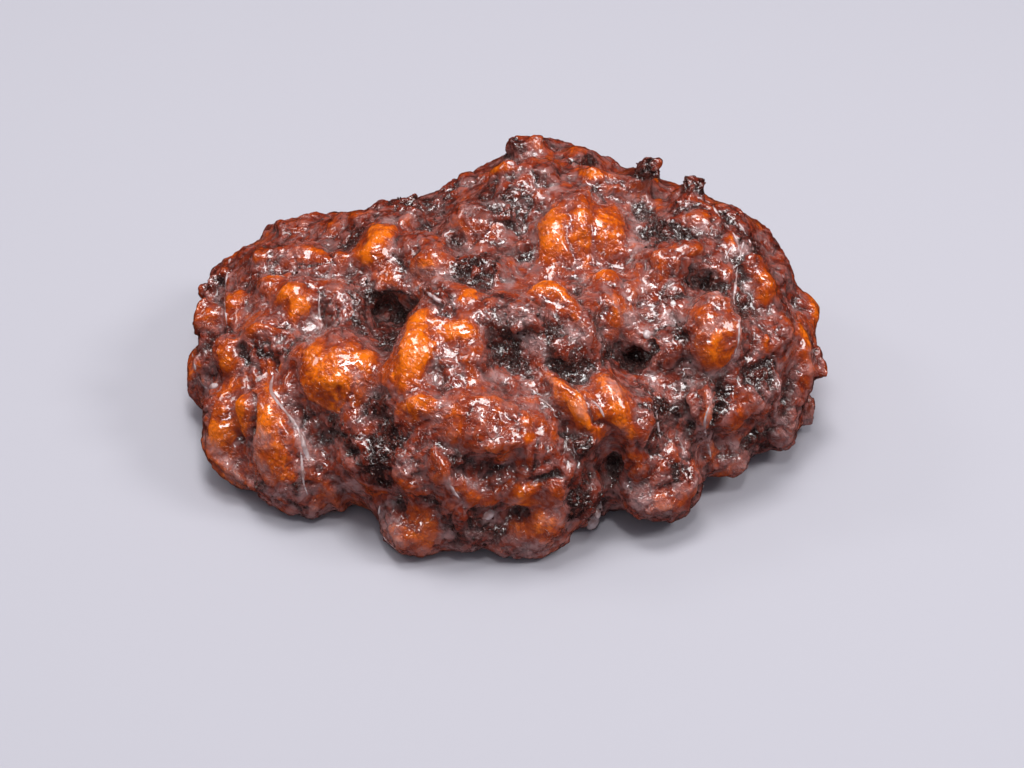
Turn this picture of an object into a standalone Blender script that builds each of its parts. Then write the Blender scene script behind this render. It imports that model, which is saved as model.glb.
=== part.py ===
"""Blueberry fritter: one fried lump of rough dough, modelled as a single closed solid.

Metres, +Z up. The fritter rests on the flat cut under it, at z = 0. +X runs along its
length, +Y runs from its front to its back, and the origin is under its middle.

Overlapping masses of dough make the core. Lumps of batter are set on the core where a
sight line from a point in front of the fritter and above it meets the dough, so each lump
keeps its place in the fritter's front view. The back is lumped by a rule, the relief is
deepened, hollows are pressed in, and nodules and crumbs roughen the crust all round before
the underside is cut flat.
"""
import math
import random
from typing import NamedTuple

import bmesh
import bpy
import numpy as np
from mathutils import Matrix, Vector, noise
from mathutils.bvhtree import BVHTree

MM = 0.001

# Size of the whole fritter, in millimetres
LENGTH = 138.0
DEPTH = 110.0
HEIGHT = 48.0

# The sight plane: a plane through SIGHT_TARGET that faces the sighting point, in millimetres
SIGHT_TARGET = Vector((2.0, 3.5, 0.0))
SIGHT_DISTANCE = 535.6
SIGHT_ELEVATION = math.radians(40.3)
SIGHT_ROLL = math.radians(0.6)

# Making of the crust: fineness in millimetres, and how often each skin is smoothed
CORE_VOXEL = 2.5
CRUST_VOXEL = 0.9
CORE_SMOOTHING = 4
LUMP_SMOOTHING = 2
CRUST_SMOOTHING = 3
SMOOTH_FACTOR = 0.5
MASS_DETAIL = 4
LUMP_DETAIL = 3
GROUND_SNAP = 0.5
GROUND_SIDE = 400.0
CRINKLE_WAVE = 9.0
CRINKLE_HEIGHT = 0.8
CRINKLE_ROUGHNESS = 0.8
CRINKLE_STEP = 2.1
CRINKLE_OCTAVES = 2
SHARPEN_AMOUNT = 0.8
SHARPEN_REACH = 14
TRIANGLES = 12600

# A lump's thickness: at least this part of its width, and this part of its rise plus a little
THICK_PER_WIDE = 0.8
THICK_PER_RISE = 0.6
THICK_LEAST = 0.5

# A place is hidden from the front view if it is turned this far away, or covered this deep
GRAZING = -0.12
COVERED = 2.0

# How far round its middle a hollow reaches, in half sizes squared and millimetres, and how fast it fades
HOLLOW_REACH = 4
HOLLOW_THICKNESS = 14
HOLLOW_FADE = 1.2

# Lumps that the rule puts on the back and round the foot
BACK_LUMPS = 95
BACK_LUMP_SIZE = (4.5, 9.5)
BACK_LUMP_SLIMNESS = (0.45, 0.9)
BACK_LUMP_RISE = (2.5, 5.5)
BACK_LUMP_GAP = 6.5
NODULES = 150
NODULE_SIZE = (3.0, 5.2)
NODULE_SLIMNESS = (0.5, 0.9)
NODULE_RISE = (0.5, 2.2)
NODULE_GAP = 7.5
CRUMBS = 45
CRUMB_SIZE = (1.6, 2.6)
CRUMB_WIDTH = (0.6, 1)
CRUMB_HEIGHT = (0.7, 1.2)
CRUMB_GAP = 8.0
HALF_TURN = (0, 180)
FOOT = 3.0
TRIES = 12
SEED = 7

CRUST_COLOUR = (0.33, 0.075, 0.02, 1)
CRUST_ROUGHNESS = 0.25


class Mass(NamedTuple):
    """A mass of the core: its middle and its half sizes along X, Y and Z, in millimetres."""

    middle: tuple
    half: tuple


class Lump(NamedTuple):
    """A lump of batter as sighted, in millimetres and degrees.

    right and up are its place in the sight plane, long and wide its half sizes, turn the
    angle of its long way from level, and rise how far its top stands over the core.
    """

    right: float
    up: float
    long: float
    wide: float
    turn: float
    rise: float


class Hollow(NamedTuple):
    """A hollow as sighted: its place in the sight plane, half sizes, turn and depth."""

    right: float
    up: float
    long: float
    wide: float
    turn: float
    depth: float


MASSES = {
    "left": Mass((-39, -1, 13), (25, 35, 19)),
    "left foot": Mass((-39, -31, 7), (15, 8, 10)),
    "shoulder": Mass((-20, 10, 14), (20, 23, 21)),
    "front": Mass((-4, -29, 12), (32, 21, 22)),
    "centre": Mass((1, -7, 15), (48, 38, 23)),
    "back": Mass((13, 20, 16), (32, 29, 26)),
    "right": Mass((39, 1, 15), (26, 32, 25)),
    "right foot": Mass((48, -8, 8), (16, 16, 12)),
    "knob": Mass((32, -32, 7), (8, 9, 10)),
}

LEFT_LUMPS = (
    Lump(-59.5, 24.5, 6.0, 4.8, 70, 4.0),
    Lump(-55.5, 29.5, 3.6, 2.6, 30, 4.5),
    Lump(-46.0, 33.0, 7.0, 4.0, 15, 4.5),
    Lump(-38.0, 32.0, 5.0, 4.5, 20, 5.0),
    Lump(-47.0, 18.0, 5.5, 5.0, 80, 4.5),
    Lump(-38.0, 18.5, 5.5, 5.2, 90, 4.5),
    Lump(-54.0, 20.0, 4.0, 3.0, 60, 4.0),
    Lump(-61.0, 17.0, 5.5, 3.0, 85, 3.5),
    Lump(-67.0, 13.5, 4.0, 3.0, 90, 2.5),
    Lump(-63.0, 6.4, 4.2, 3.6, 90, 4.0),
    Lump(-68.0, 4.0, 3.4, 2.4, 90, 2.5),
    Lump(-55.5, 10.5, 5.0, 4.5, 20, 3.5),
    Lump(-62.5, -9.0, 10.5, 4.6, -80, 5.0),
    Lump(-53.5, -12.5, 12.5, 4.8, -76, 5.0),
    Lump(-61.5, -19.0, 8.0, 2.4, -33, 2.5),
    Lump(-50.5, -24.5, 8.0, 3.0, -22, 2.5),
    Lump(-45.0, -13.5, 7.0, 2.8, -68, 3.0),
    Lump(-44.0, -23.5, 6.0, 2.6, -75, 3.5),
    Lump(-38.5, -27.0, 6.5, 4.2, -15, 3.5),
    Lump(-42.0, -29.0, 8.0, 3.6, -10, 4.0),
    Lump(-34.0, -29.0, 7.0, 4.4, 0, 5.0),
    Lump(-52.0, 26.0, 5.0, 3.6, 50, 4.0),
    Lump(-45.5, 26.0, 4.6, 3.4, -20, 4.0),
    Lump(-40.0, 25.5, 4.2, 3.2, 60, 3.5),
)

BIG_LUMPS = (
    Lump(-39.0, 2.5, 11.5, 8.5, 5, 7.0),
    Lump(-36.0, -10.5, 5.5, 4.5, -20, 3.0),
    Lump(-30.5, -17.5, 5.0, 4.5, 40, 3.5),
    Lump(-38.5, -18.5, 5.5, 4.5, 0, 3.0),
    Lump(-22.5, 0.9, 6.0, 5.0, 30, 6.0),
    Lump(-19.0, 8.5, 9.5, 5.5, 62, 8.0),
    Lump(-10.5, 11.0, 6.5, 4.4, 10, 6.5),
    Lump(-9.5, 3.8, 6.0, 4.4, -10, 4.5),
    Lump(-28.5, 29.5, 9.5, 5.0, 82, 5.5),
    Lump(-32.5, 37.0, 5.0, 3.6, 20, 4.5),
    Lump(-22.5, 37.0, 4.6, 3.4, 30, 4.0),
    Lump(-18.5, 27.0, 7.0, 6.0, -60, 6.0),
    Lump(-13.5, 18.5, 7.5, 3.6, -35, 5.5),
    Lump(-8.5, 33.5, 8.5, 5.8, 5, 6.0),
    Lump(-6.5, 24.0, 6.0, 4.6, -20, 4.5),
)

FRONT_LUMPS = (
    Lump(-18.5, -6.0, 8.0, 5.8, 15, 4.5),
    Lump(-6.0, -7.0, 7.5, 6.8, 0, 4.5),
    Lump(3.0, -12.0, 8.0, 6.0, -35, 5.0),
    Lump(-13.0, -15.5, 6.5, 4.8, -30, 4.0),
    Lump(-22.5, -19.0, 6.5, 4.6, 85, 4.0),
    Lump(-21.5, -31.5, 7.6, 6.2, -20, 5.5),
    Lump(-15.0, -19.5, 7.0, 2.8, -65, 4.5),
    Lump(-9.5, -23.5, 5.0, 3.6, -70, 3.0),
    Lump(-9.5, -31.5, 5.5, 5.0, 0, 3.5),
    Lump(1.5, -22.5, 6.0, 3.8, -20, 4.0),
    Lump(9.0, -20.0, 6.5, 2.8, 40, 4.5),
    Lump(5.0, -32.0, 8.0, 6.2, 30, 5.5),
    Lump(10.0, -25.5, 4.5, 3.6, 60, 4.0),
    Lump(16.5, -25.5, 6.2, 4.4, 75, 3.5),
    Lump(-3.0, -38.0, 6.0, 3.0, 0, 3.0),
)

CREST_LUMPS = (
    Lump(1.0, 14.0, 9.5, 6.5, -25, 5.5),
    Lump(8.5, 5.5, 6.0, 3.6, -55, 4.5),
    Lump(13.5, 13.0, 11.0, 3.2, -58, 6.0),
    Lump(14.2, -5.0, 9.0, 3.4, -48, 6.5),
    Lump(23.5, -5.5, 9.0, 3.8, -62, 6.0),
    Lump(15.5, -14.5, 3.6, 3.0, 0, 4.0),
    Lump(23.0, 17.5, 8.0, 3.6, -80, 5.5),
    Lump(18.0, 17.0, 5.0, 3.0, -70, 4.5),
    Lump(10.5, 31.5, 9.0, 4.2, 80, 5.5),
    Lump(16.5, 33.5, 9.0, 3.6, 88, 5.5),
    Lump(22.5, 30.5, 9.5, 3.6, 84, 5.0),
    Lump(30.5, 26.0, 5.5, 3.2, 80, 4.0),
    Lump(36.0, 26.0, 5.5, 4.4, 60, 4.5),
    Lump(33.5, 33.0, 5.5, 3.8, -10, 4.0),
    Lump(41.5, 34.0, 6.0, 5.0, -30, 4.5),
    Lump(36.5, 41.0, 6.5, 3.0, -12, 4.5),
    Lump(20.0, 43.0, 6.0, 4.6, 0, 4.0),
    Lump(18.5, 47.5, 4.4, 2.6, 0, 4.5),
    Lump(7.5, 43.0, 5.0, 4.4, 30, 4.0),
    Lump(-1.0, 40.5, 5.5, 4.0, -10, 3.5),
    Lump(-3.5, 47.0, 6.5, 2.6, 14, 4.0),
    Lump(4.0, 50.5, 7.5, 4.8, 5, 5.0),
    Lump(-10.5, 42.0, 5.0, 3.6, 35, 4.0),
    Lump(29.0, 43.0, 6.0, 4.0, -15, 4.0),
)

RIGHT_LUMPS = (
    Lump(44.5, 11.0, 8.5, 5.6, 80, 7.0),
    Lump(33.5, 6.5, 5.8, 4.6, 10, 3.5),
    Lump(41.0, -6.0, 9.0, 4.6, 78, 4.5),
    Lump(49.5, -3.5, 8.0, 3.0, 84, 4.0),
    Lump(55.0, -2.5, 7.0, 4.2, 80, 3.5),
    Lump(56.5, 21.0, 7.0, 4.0, -75, 4.0),
    Lump(57.5, 8.0, 6.0, 4.4, -80, 4.0),
    Lump(62.5, 9.5, 8.5, 2.8, -84, 3.0),
    Lump(60.5, -8.0, 8.5, 3.6, 76, 3.5),
    Lump(65.0, -3.0, 8.5, 2.2, 84, 2.5),
    Lump(47.0, -15.5, 5.0, 3.0, 20, 3.5),
    Lump(51.0, -17.5, 6.5, 2.8, 18, 2.0),
    Lump(31.5, -24.5, 8.0, 5.0, -12, 5.0),
    Lump(37.5, -22.5, 7.0, 4.0, 75, 5.0),
    Lump(34.5, -15.5, 5.5, 4.4, 60, 4.5),
    Lump(28.5, -14.5, 6.0, 4.0, -70, 4.0),
    Lump(31.0, -6.5, 5.0, 3.8, 80, 3.5),
    Lump(50.5, 27.5, 5.5, 4.2, -40, 4.0),
)

# Crisp knobs and thin leaves that stand out at the fritter's edge
CRAGS = (
    Lump(-67.5, 20.0, 3.0, 2.6, 30, 2.6),
    Lump(-71.0, 18.0, 2.4, 1.6, 20, 1.4),
    Lump(-21.5, 41.5, 2.2, 1.4, 80, 3.2),
    Lump(-0.5, 54.0, 2.2, 1.8, 40, 3.5),
    Lump(6.5, 55.0, 3.2, 2.0, 0, 3.5),
    Lump(31.8, 48.5, 4.2, 3.0, 80, 9.0),
    Lump(41.5, 44.5, 3.2, 2.8, 0, 7.0),
    Lump(68.0, 4.5, 6.5, 1.8, 86, 2.2),
    Lump(67.0, -6.5, 3.4, 1.6, 80, 1.8),
    Lump(18.5, 51.5, 3.4, 1.8, 0, 3.0),
    Lump(-67.5, 8.5, 2.2, 2.0, 0, 2.0),
)

HOLLOWS = {
    "cave under the dome": Hollow(-26.0, 15.0, 6.5, 4.6, 65, 9.0),
    "cave by the crest": Hollow(25.5, 5.5, 5.4, 3.2, -5, 8.0),
    "slot between the fingers": Hollow(12.0, 3.0, 3.6, 2.6, -40, 5.0),
    "slot over the foot": Hollow(22.0, -19.0, 3.4, 2.8, 80, 6.0),
    "pocket of the crest": Hollow(-2.0, 3.0, 5.5, 2.6, -10, 4.0),
    "pocket at the right": Hollow(43.0, 22.0, 3.4, 3.0, 0, 5.0),
    "slit in the foot": Hollow(1.0, -28.6, 3.0, 1.8, 10, 4.0),
    "crease of the left arm": Hollow(-49.0, 3.0, 9.0, 2.2, -72, 4.0),
    "crease beside the arm": Hollow(-41.0, -16.0, 9.0, 2.2, -62, 3.0),
    "crease between the arms": Hollow(-57.5, -10.0, 10.0, 1.8, -78, 3.0),
    "valley behind the lobe": Hollow(29.5, 33.0, 8.0, 2.4, 82, 3.5),
    "notch in the front": Hollow(22.5, -27.5, 4.0, 3.0, 80, 6.0),
    "notch at the left": Hollow(-67.5, -1.5, 3.0, 1.8, 10, 3.5),
    "crease of the front fold": Hollow(-3.0, -17.5, 9.0, 2.0, -35, 3.0),
}


def sight_frame():
    """Return the sighting point and the sight plane's right and up directions."""
    back = Vector((0, -math.cos(SIGHT_ELEVATION), math.sin(SIGHT_ELEVATION)))
    eye = (SIGHT_TARGET + SIGHT_DISTANCE * back) * MM
    roll = Matrix.Rotation(SIGHT_ROLL, 3, back)
    right = roll @ Vector((1, 0, 0))
    return eye, right, back.cross(right)


def sight(tree, right, up):
    """Return the place and outward normal of the dough on a sight line."""
    eye, right_way, up_way = sight_frame()
    aim = (SIGHT_TARGET + right_way * right + up_way * up) * MM
    way = (aim - eye).normalized()
    place, normal, _, _ = tree.ray_cast(eye, way)
    if place is None:
        middle = Vector((0, 0, HEIGHT * MM / 3))
        near = eye + way * (middle - eye).dot(way)
        place, normal, _, _ = tree.find_nearest(near)
    return place, normal


def slant(normal, turn):
    """Return axes with Z along the normal and X the way that a turn in the sight plane points."""
    _, right_way, up_way = sight_frame()
    seen = right_way * math.cos(math.radians(turn)) + up_way * math.sin(math.radians(turn))
    along = (seen - normal * seen.dot(normal)).normalized()
    across = normal.cross(along)
    return Matrix((along, across, normal)).transposed()


def round_ball(detail):
    """Make a ball of radius 1 m, which is copied for every lump."""
    shape = bmesh.new()
    bmesh.ops.create_icosphere(shape, subdivisions=detail, radius=1)
    mesh = bpy.data.meshes.new("ball")
    shape.to_mesh(mesh)
    shape.free()
    return mesh


def add_ball(shape, ball, place, axes, half):
    """Add an ellipsoid to a bmesh, with its half sizes along the three axes."""
    copy = ball.copy()
    copy.transform(Matrix.Translation(place) @ axes.to_4x4() @ Matrix.Diagonal((*half, 1)))
    shape.from_mesh(copy)
    bpy.data.meshes.remove(copy)


def mesh_object(shape, name):
    """Turn a bmesh into an object of the scene."""
    mesh = bpy.data.meshes.new(name)
    shape.to_mesh(mesh)
    shape.free()
    obj = bpy.data.objects.new(name, mesh)
    bpy.context.collection.objects.link(obj)
    return obj


def bake(obj):
    """Apply an object's modifiers by replacing its mesh with the evaluated one."""
    seen = obj.evaluated_get(bpy.context.evaluated_depsgraph_get())
    mesh = bpy.data.meshes.new_from_object(seen)
    old = obj.data
    obj.modifiers.clear()
    obj.data = mesh
    mesh.name = obj.name
    bpy.data.meshes.remove(old)


def fuse(obj, voxel, smoothing):
    """Fuse overlapping balls into one skin with a voxel remesh, then smooth it a little."""
    remesh = obj.modifiers.new("Fuse", "REMESH")
    remesh.mode = "VOXEL"
    remesh.voxel_size = voxel * MM
    smooth = obj.modifiers.new("Soften", "SMOOTH")
    smooth.factor = SMOOTH_FACTOR
    smooth.iterations = smoothing
    bake(obj)


def tree_of(obj):
    """Return a search tree of an object's mesh."""
    shape = bmesh.new()
    shape.from_mesh(obj.data)
    tree = BVHTree.FromBMesh(shape)
    shape.free()
    return tree


def make_core():
    """Build the core from its masses."""
    ball = round_ball(MASS_DETAIL)
    shape = bmesh.new()
    for mass in MASSES.values():
        add_ball(shape, ball, Vector(mass.middle) * MM, Matrix.Identity(3), Vector(mass.half) * MM)
    bpy.data.meshes.remove(ball)
    core = mesh_object(shape, "core")
    fuse(core, CORE_VOXEL, CORE_SMOOTHING)
    return core


def add_lump(shape, ball, place, normal, axes, long, wide, rise):
    """Set a lump on the core so that its top stands proud of it by its rise."""
    thick = max(THICK_PER_WIDE * wide, THICK_PER_RISE * rise + THICK_LEAST)
    middle = place + normal * (rise - thick) * MM
    add_ball(shape, ball, middle, axes, (long * MM, wide * MM, thick * MM))


def add_sighted_lumps(shape, ball, tree):
    """Add the lumps that the front view shows."""
    for lump in LEFT_LUMPS + BIG_LUMPS + FRONT_LUMPS + CREST_LUMPS + RIGHT_LUMPS + CRAGS:
        place, normal = sight(tree, lump.right, lump.up)
        add_lump(shape, ball, place, normal, slant(normal, lump.turn), lump.long, lump.wide, lump.rise)


def hidden(tree, place, normal):
    """Say whether a place on the core is turned away from the sighting point or covered."""
    eye = sight_frame()[0]
    way = (place - eye).normalized()
    if normal.dot(way) > GRAZING:
        return True
    hit = tree.ray_cast(eye, way)[0]
    return (hit - place).length > COVERED * MM


def scatter(obj, count, gap, draw):
    """Draw places on an object's skin above its foot, no two nearer than the gap."""
    faces = obj.data.polygons
    middles = np.array([face.center for face in faces])
    chosen = []
    for index in draw.sample(range(len(faces)), min(len(faces), TRIES * count)):
        apart = np.sum((middles[chosen] - middles[index]) ** 2, axis=1)
        if middles[index][2] > FOOT * MM and (apart > (gap * MM) ** 2).all():
            chosen.append(index)
        if len(chosen) == count:
            break
    return [(faces[index].center.copy(), faces[index].normal.copy()) for index in chosen]


def add_back_lumps(shape, ball, core, tree, draw):
    """Add lumps of uneven size where the front view doesn't reach."""
    for place, normal in scatter(core, 3 * BACK_LUMPS, BACK_LUMP_GAP, draw):
        if not hidden(tree, place, normal):
            continue
        long = draw.uniform(*BACK_LUMP_SIZE)
        wide = long * draw.uniform(*BACK_LUMP_SLIMNESS)
        axes = slant(normal, draw.uniform(*HALF_TURN))
        add_lump(shape, ball, place, normal, axes, long, wide, draw.uniform(*BACK_LUMP_RISE))


def add_nodules(shape, ball, obj, draw):
    """Roughen the whole crust with small nodules of batter."""
    for place, normal in scatter(obj, NODULES, NODULE_GAP, draw):
        long = draw.uniform(*NODULE_SIZE)
        wide = long * draw.uniform(*NODULE_SLIMNESS)
        axes = slant(normal, draw.uniform(*HALF_TURN))
        add_lump(shape, ball, place, normal, axes, long, wide, draw.uniform(*NODULE_RISE))


def add_crumbs(shape, ball, obj, draw):
    """Fuse small crisp crumbs to the crust, all round."""
    for place, normal in scatter(obj, CRUMBS, CRUMB_GAP, draw):
        size = draw.uniform(*CRUMB_SIZE) * MM
        axes = slant(normal, draw.uniform(*HALF_TURN))
        half = (size, size * draw.uniform(*CRUMB_WIDTH), size * draw.uniform(*CRUMB_HEIGHT))
        add_ball(shape, ball, place, axes, half)


def press_hollows(obj, tree):
    """Press the hollows into the crust, between their sight lines and its normals."""
    eye = sight_frame()[0]
    pushes = []
    for hollow in HOLLOWS.values():
        place, normal = sight(tree, hollow.right, hollow.up)
        inward = ((place - eye).normalized() - normal).normalized()
        pushes.append((place, slant(normal, hollow.turn).transposed(), inward, hollow))
    for vertex in obj.data.vertices:
        shift = Vector()
        for place, axes, inward, hollow in pushes:
            near = axes @ (vertex.co - place) / MM
            reach = (near.x / hollow.long) ** 2 + (near.y / hollow.wide) ** 2
            if reach < HOLLOW_REACH and abs(near.z) < HOLLOW_THICKNESS:
                shift += inward * hollow.depth * MM * math.exp(-HOLLOW_FADE * reach)
        vertex.co += shift


def sharpen(obj, amount, reach):
    """Deepen the relief: move each point away from where smoothing would bring it."""
    shape = bmesh.new()
    shape.from_mesh(obj.data)
    every_way = {"use_axis_x": True, "use_axis_y": True, "use_axis_z": True}
    for _ in range(reach):
        bmesh.ops.smooth_vert(shape, verts=shape.verts, factor=SMOOTH_FACTOR, **every_way)
    shape.verts.ensure_lookup_table()
    for vertex, soft in zip(obj.data.vertices, shape.verts):
        vertex.co += amount * (vertex.co - soft.co)
    shape.free()


def crinkle(obj):
    """Crinkle the crust with noise along its normals."""
    normals = [vertex.normal.copy() for vertex in obj.data.vertices]
    for vertex, normal in zip(obj.data.vertices, normals):
        place = vertex.co / (CRINKLE_WAVE * MM)
        wave = noise.fractal(place, CRINKLE_ROUGHNESS, CRINKLE_STEP, CRINKLE_OCTAVES)
        vertex.co += normal * wave * CRINKLE_HEIGHT * MM


def thin_out(obj):
    """Reduce the crust to the number of triangles that its form needs."""
    obj.data.calc_loop_triangles()
    thin = obj.modifiers.new("Thin", "DECIMATE")
    thin.ratio = TRIANGLES / len(obj.data.loop_triangles)
    bake(obj)


def keep_largest_piece(obj):
    """Drop loose scraps, so that the fritter is one body."""
    shape = bmesh.new()
    shape.from_mesh(obj.data)
    left = set(shape.verts)
    pieces = []
    while left:
        stack = [left.pop()]
        piece = list(stack)
        while stack:
            for edge in stack.pop().link_edges:
                for vertex in edge.verts:
                    if vertex in left:
                        left.remove(vertex)
                        stack.append(vertex)
                        piece.append(vertex)
        pieces.append(piece)
    pieces.sort(key=len)
    scraps = [vertex for piece in pieces[:-1] for vertex in piece]
    bmesh.ops.delete(shape, geom=scraps, context="VERTS")
    shape.to_mesh(obj.data)
    shape.free()


def cut_base(obj):
    """Cut the underside flat at z = 0, so that the fritter rests on a real face."""
    for vertex in obj.data.vertices:
        if abs(vertex.co.z) < GROUND_SNAP * MM:
            vertex.co.z = 0
    shape = bmesh.new()
    side = GROUND_SIDE * MM
    block = Matrix.Translation((0, 0, -HEIGHT * MM)) @ Matrix.Diagonal((side, side, 2 * HEIGHT * MM, 1))
    bmesh.ops.create_cube(shape, size=1, matrix=block)
    ground = mesh_object(shape, "ground")
    cut = obj.modifiers.new("Base", "BOOLEAN")
    cut.operation = "DIFFERENCE"
    cut.solver = "EXACT"
    cut.object = ground
    bake(obj)
    bpy.data.objects.remove(ground)


def fit_to_size(obj):
    """Centre the fritter over the origin and bring its box to the stated size."""
    low = [min(vertex.co[i] for vertex in obj.data.vertices) for i in range(3)]
    high = [max(vertex.co[i] for vertex in obj.data.vertices) for i in range(3)]
    for i, size in enumerate((LENGTH, DEPTH, HEIGHT)):
        stretch = size * MM / (high[i] - low[i])
        middle = (low[i] + high[i]) / 2 if i < 2 else low[i]
        for vertex in obj.data.vertices:
            vertex.co[i] = (vertex.co[i] - middle) * stretch


def crust_material():
    """Glazed brown crust."""
    material = bpy.data.materials.new("glazed crust")
    material.use_nodes = True
    shader = material.node_tree.nodes["Principled BSDF"]
    shader.inputs["Base Color"].default_value = CRUST_COLOUR
    shader.inputs["Roughness"].default_value = CRUST_ROUGHNESS
    shader.inputs["Metallic"].default_value = 0.0
    return material


def make_fritter():
    """Build the fritter as one solid."""
    draw = random.Random(SEED)
    ball = round_ball(LUMP_DETAIL)
    core = make_core()
    tree = tree_of(core)
    shape = bmesh.new()
    shape.from_mesh(core.data)
    add_sighted_lumps(shape, ball, tree)
    add_back_lumps(shape, ball, core, tree, draw)
    fritter = mesh_object(shape, "fritter")
    fuse(fritter, CRUST_VOXEL, LUMP_SMOOTHING)
    sharpen(fritter, SHARPEN_AMOUNT, SHARPEN_REACH)
    press_hollows(fritter, tree_of(fritter))
    shape = bmesh.new()
    shape.from_mesh(fritter.data)
    add_nodules(shape, ball, fritter, draw)
    add_crumbs(shape, ball, fritter, draw)
    shape.to_mesh(fritter.data)
    shape.free()
    fuse(fritter, CRUST_VOXEL, CRUST_SMOOTHING)
    crinkle(fritter)
    keep_largest_piece(fritter)
    thin_out(fritter)
    cut_base(fritter)
    fit_to_size(fritter)
    fritter.data.shade_smooth()
    fritter.data.materials.append(crust_material())
    bpy.data.objects.remove(core)
    bpy.data.meshes.remove(ball)


def main():
    """Empty the scene and build the fritter in it."""
    for obj in list(bpy.data.objects):
        bpy.data.objects.remove(obj)
    make_fritter()


main()
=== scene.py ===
"""The looks of a blueberry fritter: glazed crust, crisp crumbs and sugar glaze, in a plain studio."""
from __future__ import annotations

import logging
import math
import random
from dataclasses import dataclass
from enum import Enum
from typing import Iterator, Union

import bmesh
import bpy
import numpy as np
from mathutils import Matrix, Vector, noise
from mathutils.bvhtree import BVHTree


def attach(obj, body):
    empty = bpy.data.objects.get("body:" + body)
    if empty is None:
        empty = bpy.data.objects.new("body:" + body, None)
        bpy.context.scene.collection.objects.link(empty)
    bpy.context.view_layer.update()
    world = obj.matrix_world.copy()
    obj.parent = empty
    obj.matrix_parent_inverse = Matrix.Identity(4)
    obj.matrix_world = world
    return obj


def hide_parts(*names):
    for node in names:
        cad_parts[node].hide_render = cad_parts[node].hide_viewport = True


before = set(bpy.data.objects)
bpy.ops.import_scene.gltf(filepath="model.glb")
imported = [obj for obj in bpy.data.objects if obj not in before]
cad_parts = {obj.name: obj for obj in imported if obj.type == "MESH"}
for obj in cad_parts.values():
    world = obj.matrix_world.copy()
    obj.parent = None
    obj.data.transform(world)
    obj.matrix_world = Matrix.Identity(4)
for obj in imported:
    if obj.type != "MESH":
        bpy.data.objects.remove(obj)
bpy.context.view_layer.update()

MM = 0.001
NODE = "fritter"
BODY = "root"

# The lowest that the crust and the glaze go, so that neither is in the floor
CLEARANCE = 0.02 * MM

# Heights of the fritter's middle, for the lamps and for the search along a line of sight
FRITTER_MIDDLE = 20 * MM
SEARCH_MIDDLE = 15 * MM

# How deep a spot is for its half size, and how far out it still counts
SPOT_DEPTH = 1.3
SPOT_SPARE = 2.0 * MM
SPOT_REACH = 2

# Noise that makes the borders of the spots uneven
BROAD_BEND = 6.5 * MM
BROAD_SHARE = 2
FINE_BEND = 2.6 * MM
FINE_SHARE = 0.8

log = logging.getLogger("fritter")


def display_colour(red: int, green: int, blue: int) -> tuple[float, float, float, float]:
    """Turn a colour as a screen shows it, 0 to 255, into the linear colour of a shader.

    Args:
        red, green, blue: the screen's values.

    Returns:
        The linear colour, opaque.
    """
    parts = [value / 255 for value in (red, green, blue)]
    linear = [part / 12.92 if part <= 0.04045 else ((part + 0.055) / 1.055) ** 2.4 for part in parts]
    return (*linear, 1.0)


class Browning(Enum):
    """How far a patch of crust is browned, from pale orange to charred."""

    GOLD = 0.03
    ORANGE = 0.17
    AMBER = 0.33
    RUSSET = 0.48
    CHESTNUT = 0.62
    MAHOGANY = 0.78
    CHARRED = 0.88


@dataclass(frozen=True)
class Sighting:
    """The photograph's viewpoint, and the lines of sight through its pixels."""

    target: tuple[float, float, float] = (2.0 * MM, 3.5 * MM, 0.0)
    distance: float = 535.6 * MM
    elevation: float = math.radians(40.3)
    roll: float = math.radians(0.6)
    lens: float = 85.0
    sensor: float = 36.0
    nearest: float = 10 * MM
    picture: tuple[int, int] = (1024, 768)

    def axes(self) -> Matrix:
        """Return the view's right, up and backward directions as a matrix's columns."""
        back = Vector((0, -math.cos(self.elevation), math.sin(self.elevation)))
        right = Matrix.Rotation(self.roll, 3, back) @ Vector((1, 0, 0))
        return Matrix((right, back.cross(right), back)).transposed()

    def eye(self) -> Vector:
        """Return the point that the fritter is seen from."""
        return Vector(self.target) + self.axes().col[2] * self.distance

    def way(self, x_px: float, y_px: float) -> Vector:
        """Return the direction of sight through a pixel of the photograph.

        Args:
            x_px, y_px: the pixel.

        Returns:
            The direction, of length 1.
        """
        wide, high = self.picture
        focal = self.lens / self.sensor * wide
        return (self.axes() @ Vector((x_px - wide / 2, high / 2 - y_px, -focal))).normalized()

    def size(self, pixels: float) -> float:
        """Return the real size of a length in pixels at the fritter's distance."""
        return pixels * self.distance * self.sensor / (self.lens * self.picture[0])

    def make_camera(self) -> bpy.types.Object:
        """Put the scene's camera at the viewpoint.

        Returns:
            The camera.
        """
        camera = bpy.data.objects.new("camera", bpy.data.cameras.new("camera"))
        camera.data.lens = self.lens
        camera.data.sensor_width = self.sensor
        camera.data.clip_start = self.nearest
        camera.matrix_world = Matrix.LocRotScale(self.eye(), self.axes().to_quaternion(), None)
        bpy.context.scene.collection.objects.link(camera)
        bpy.context.scene.camera = camera
        return camera


SIGHTING = Sighting()


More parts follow.
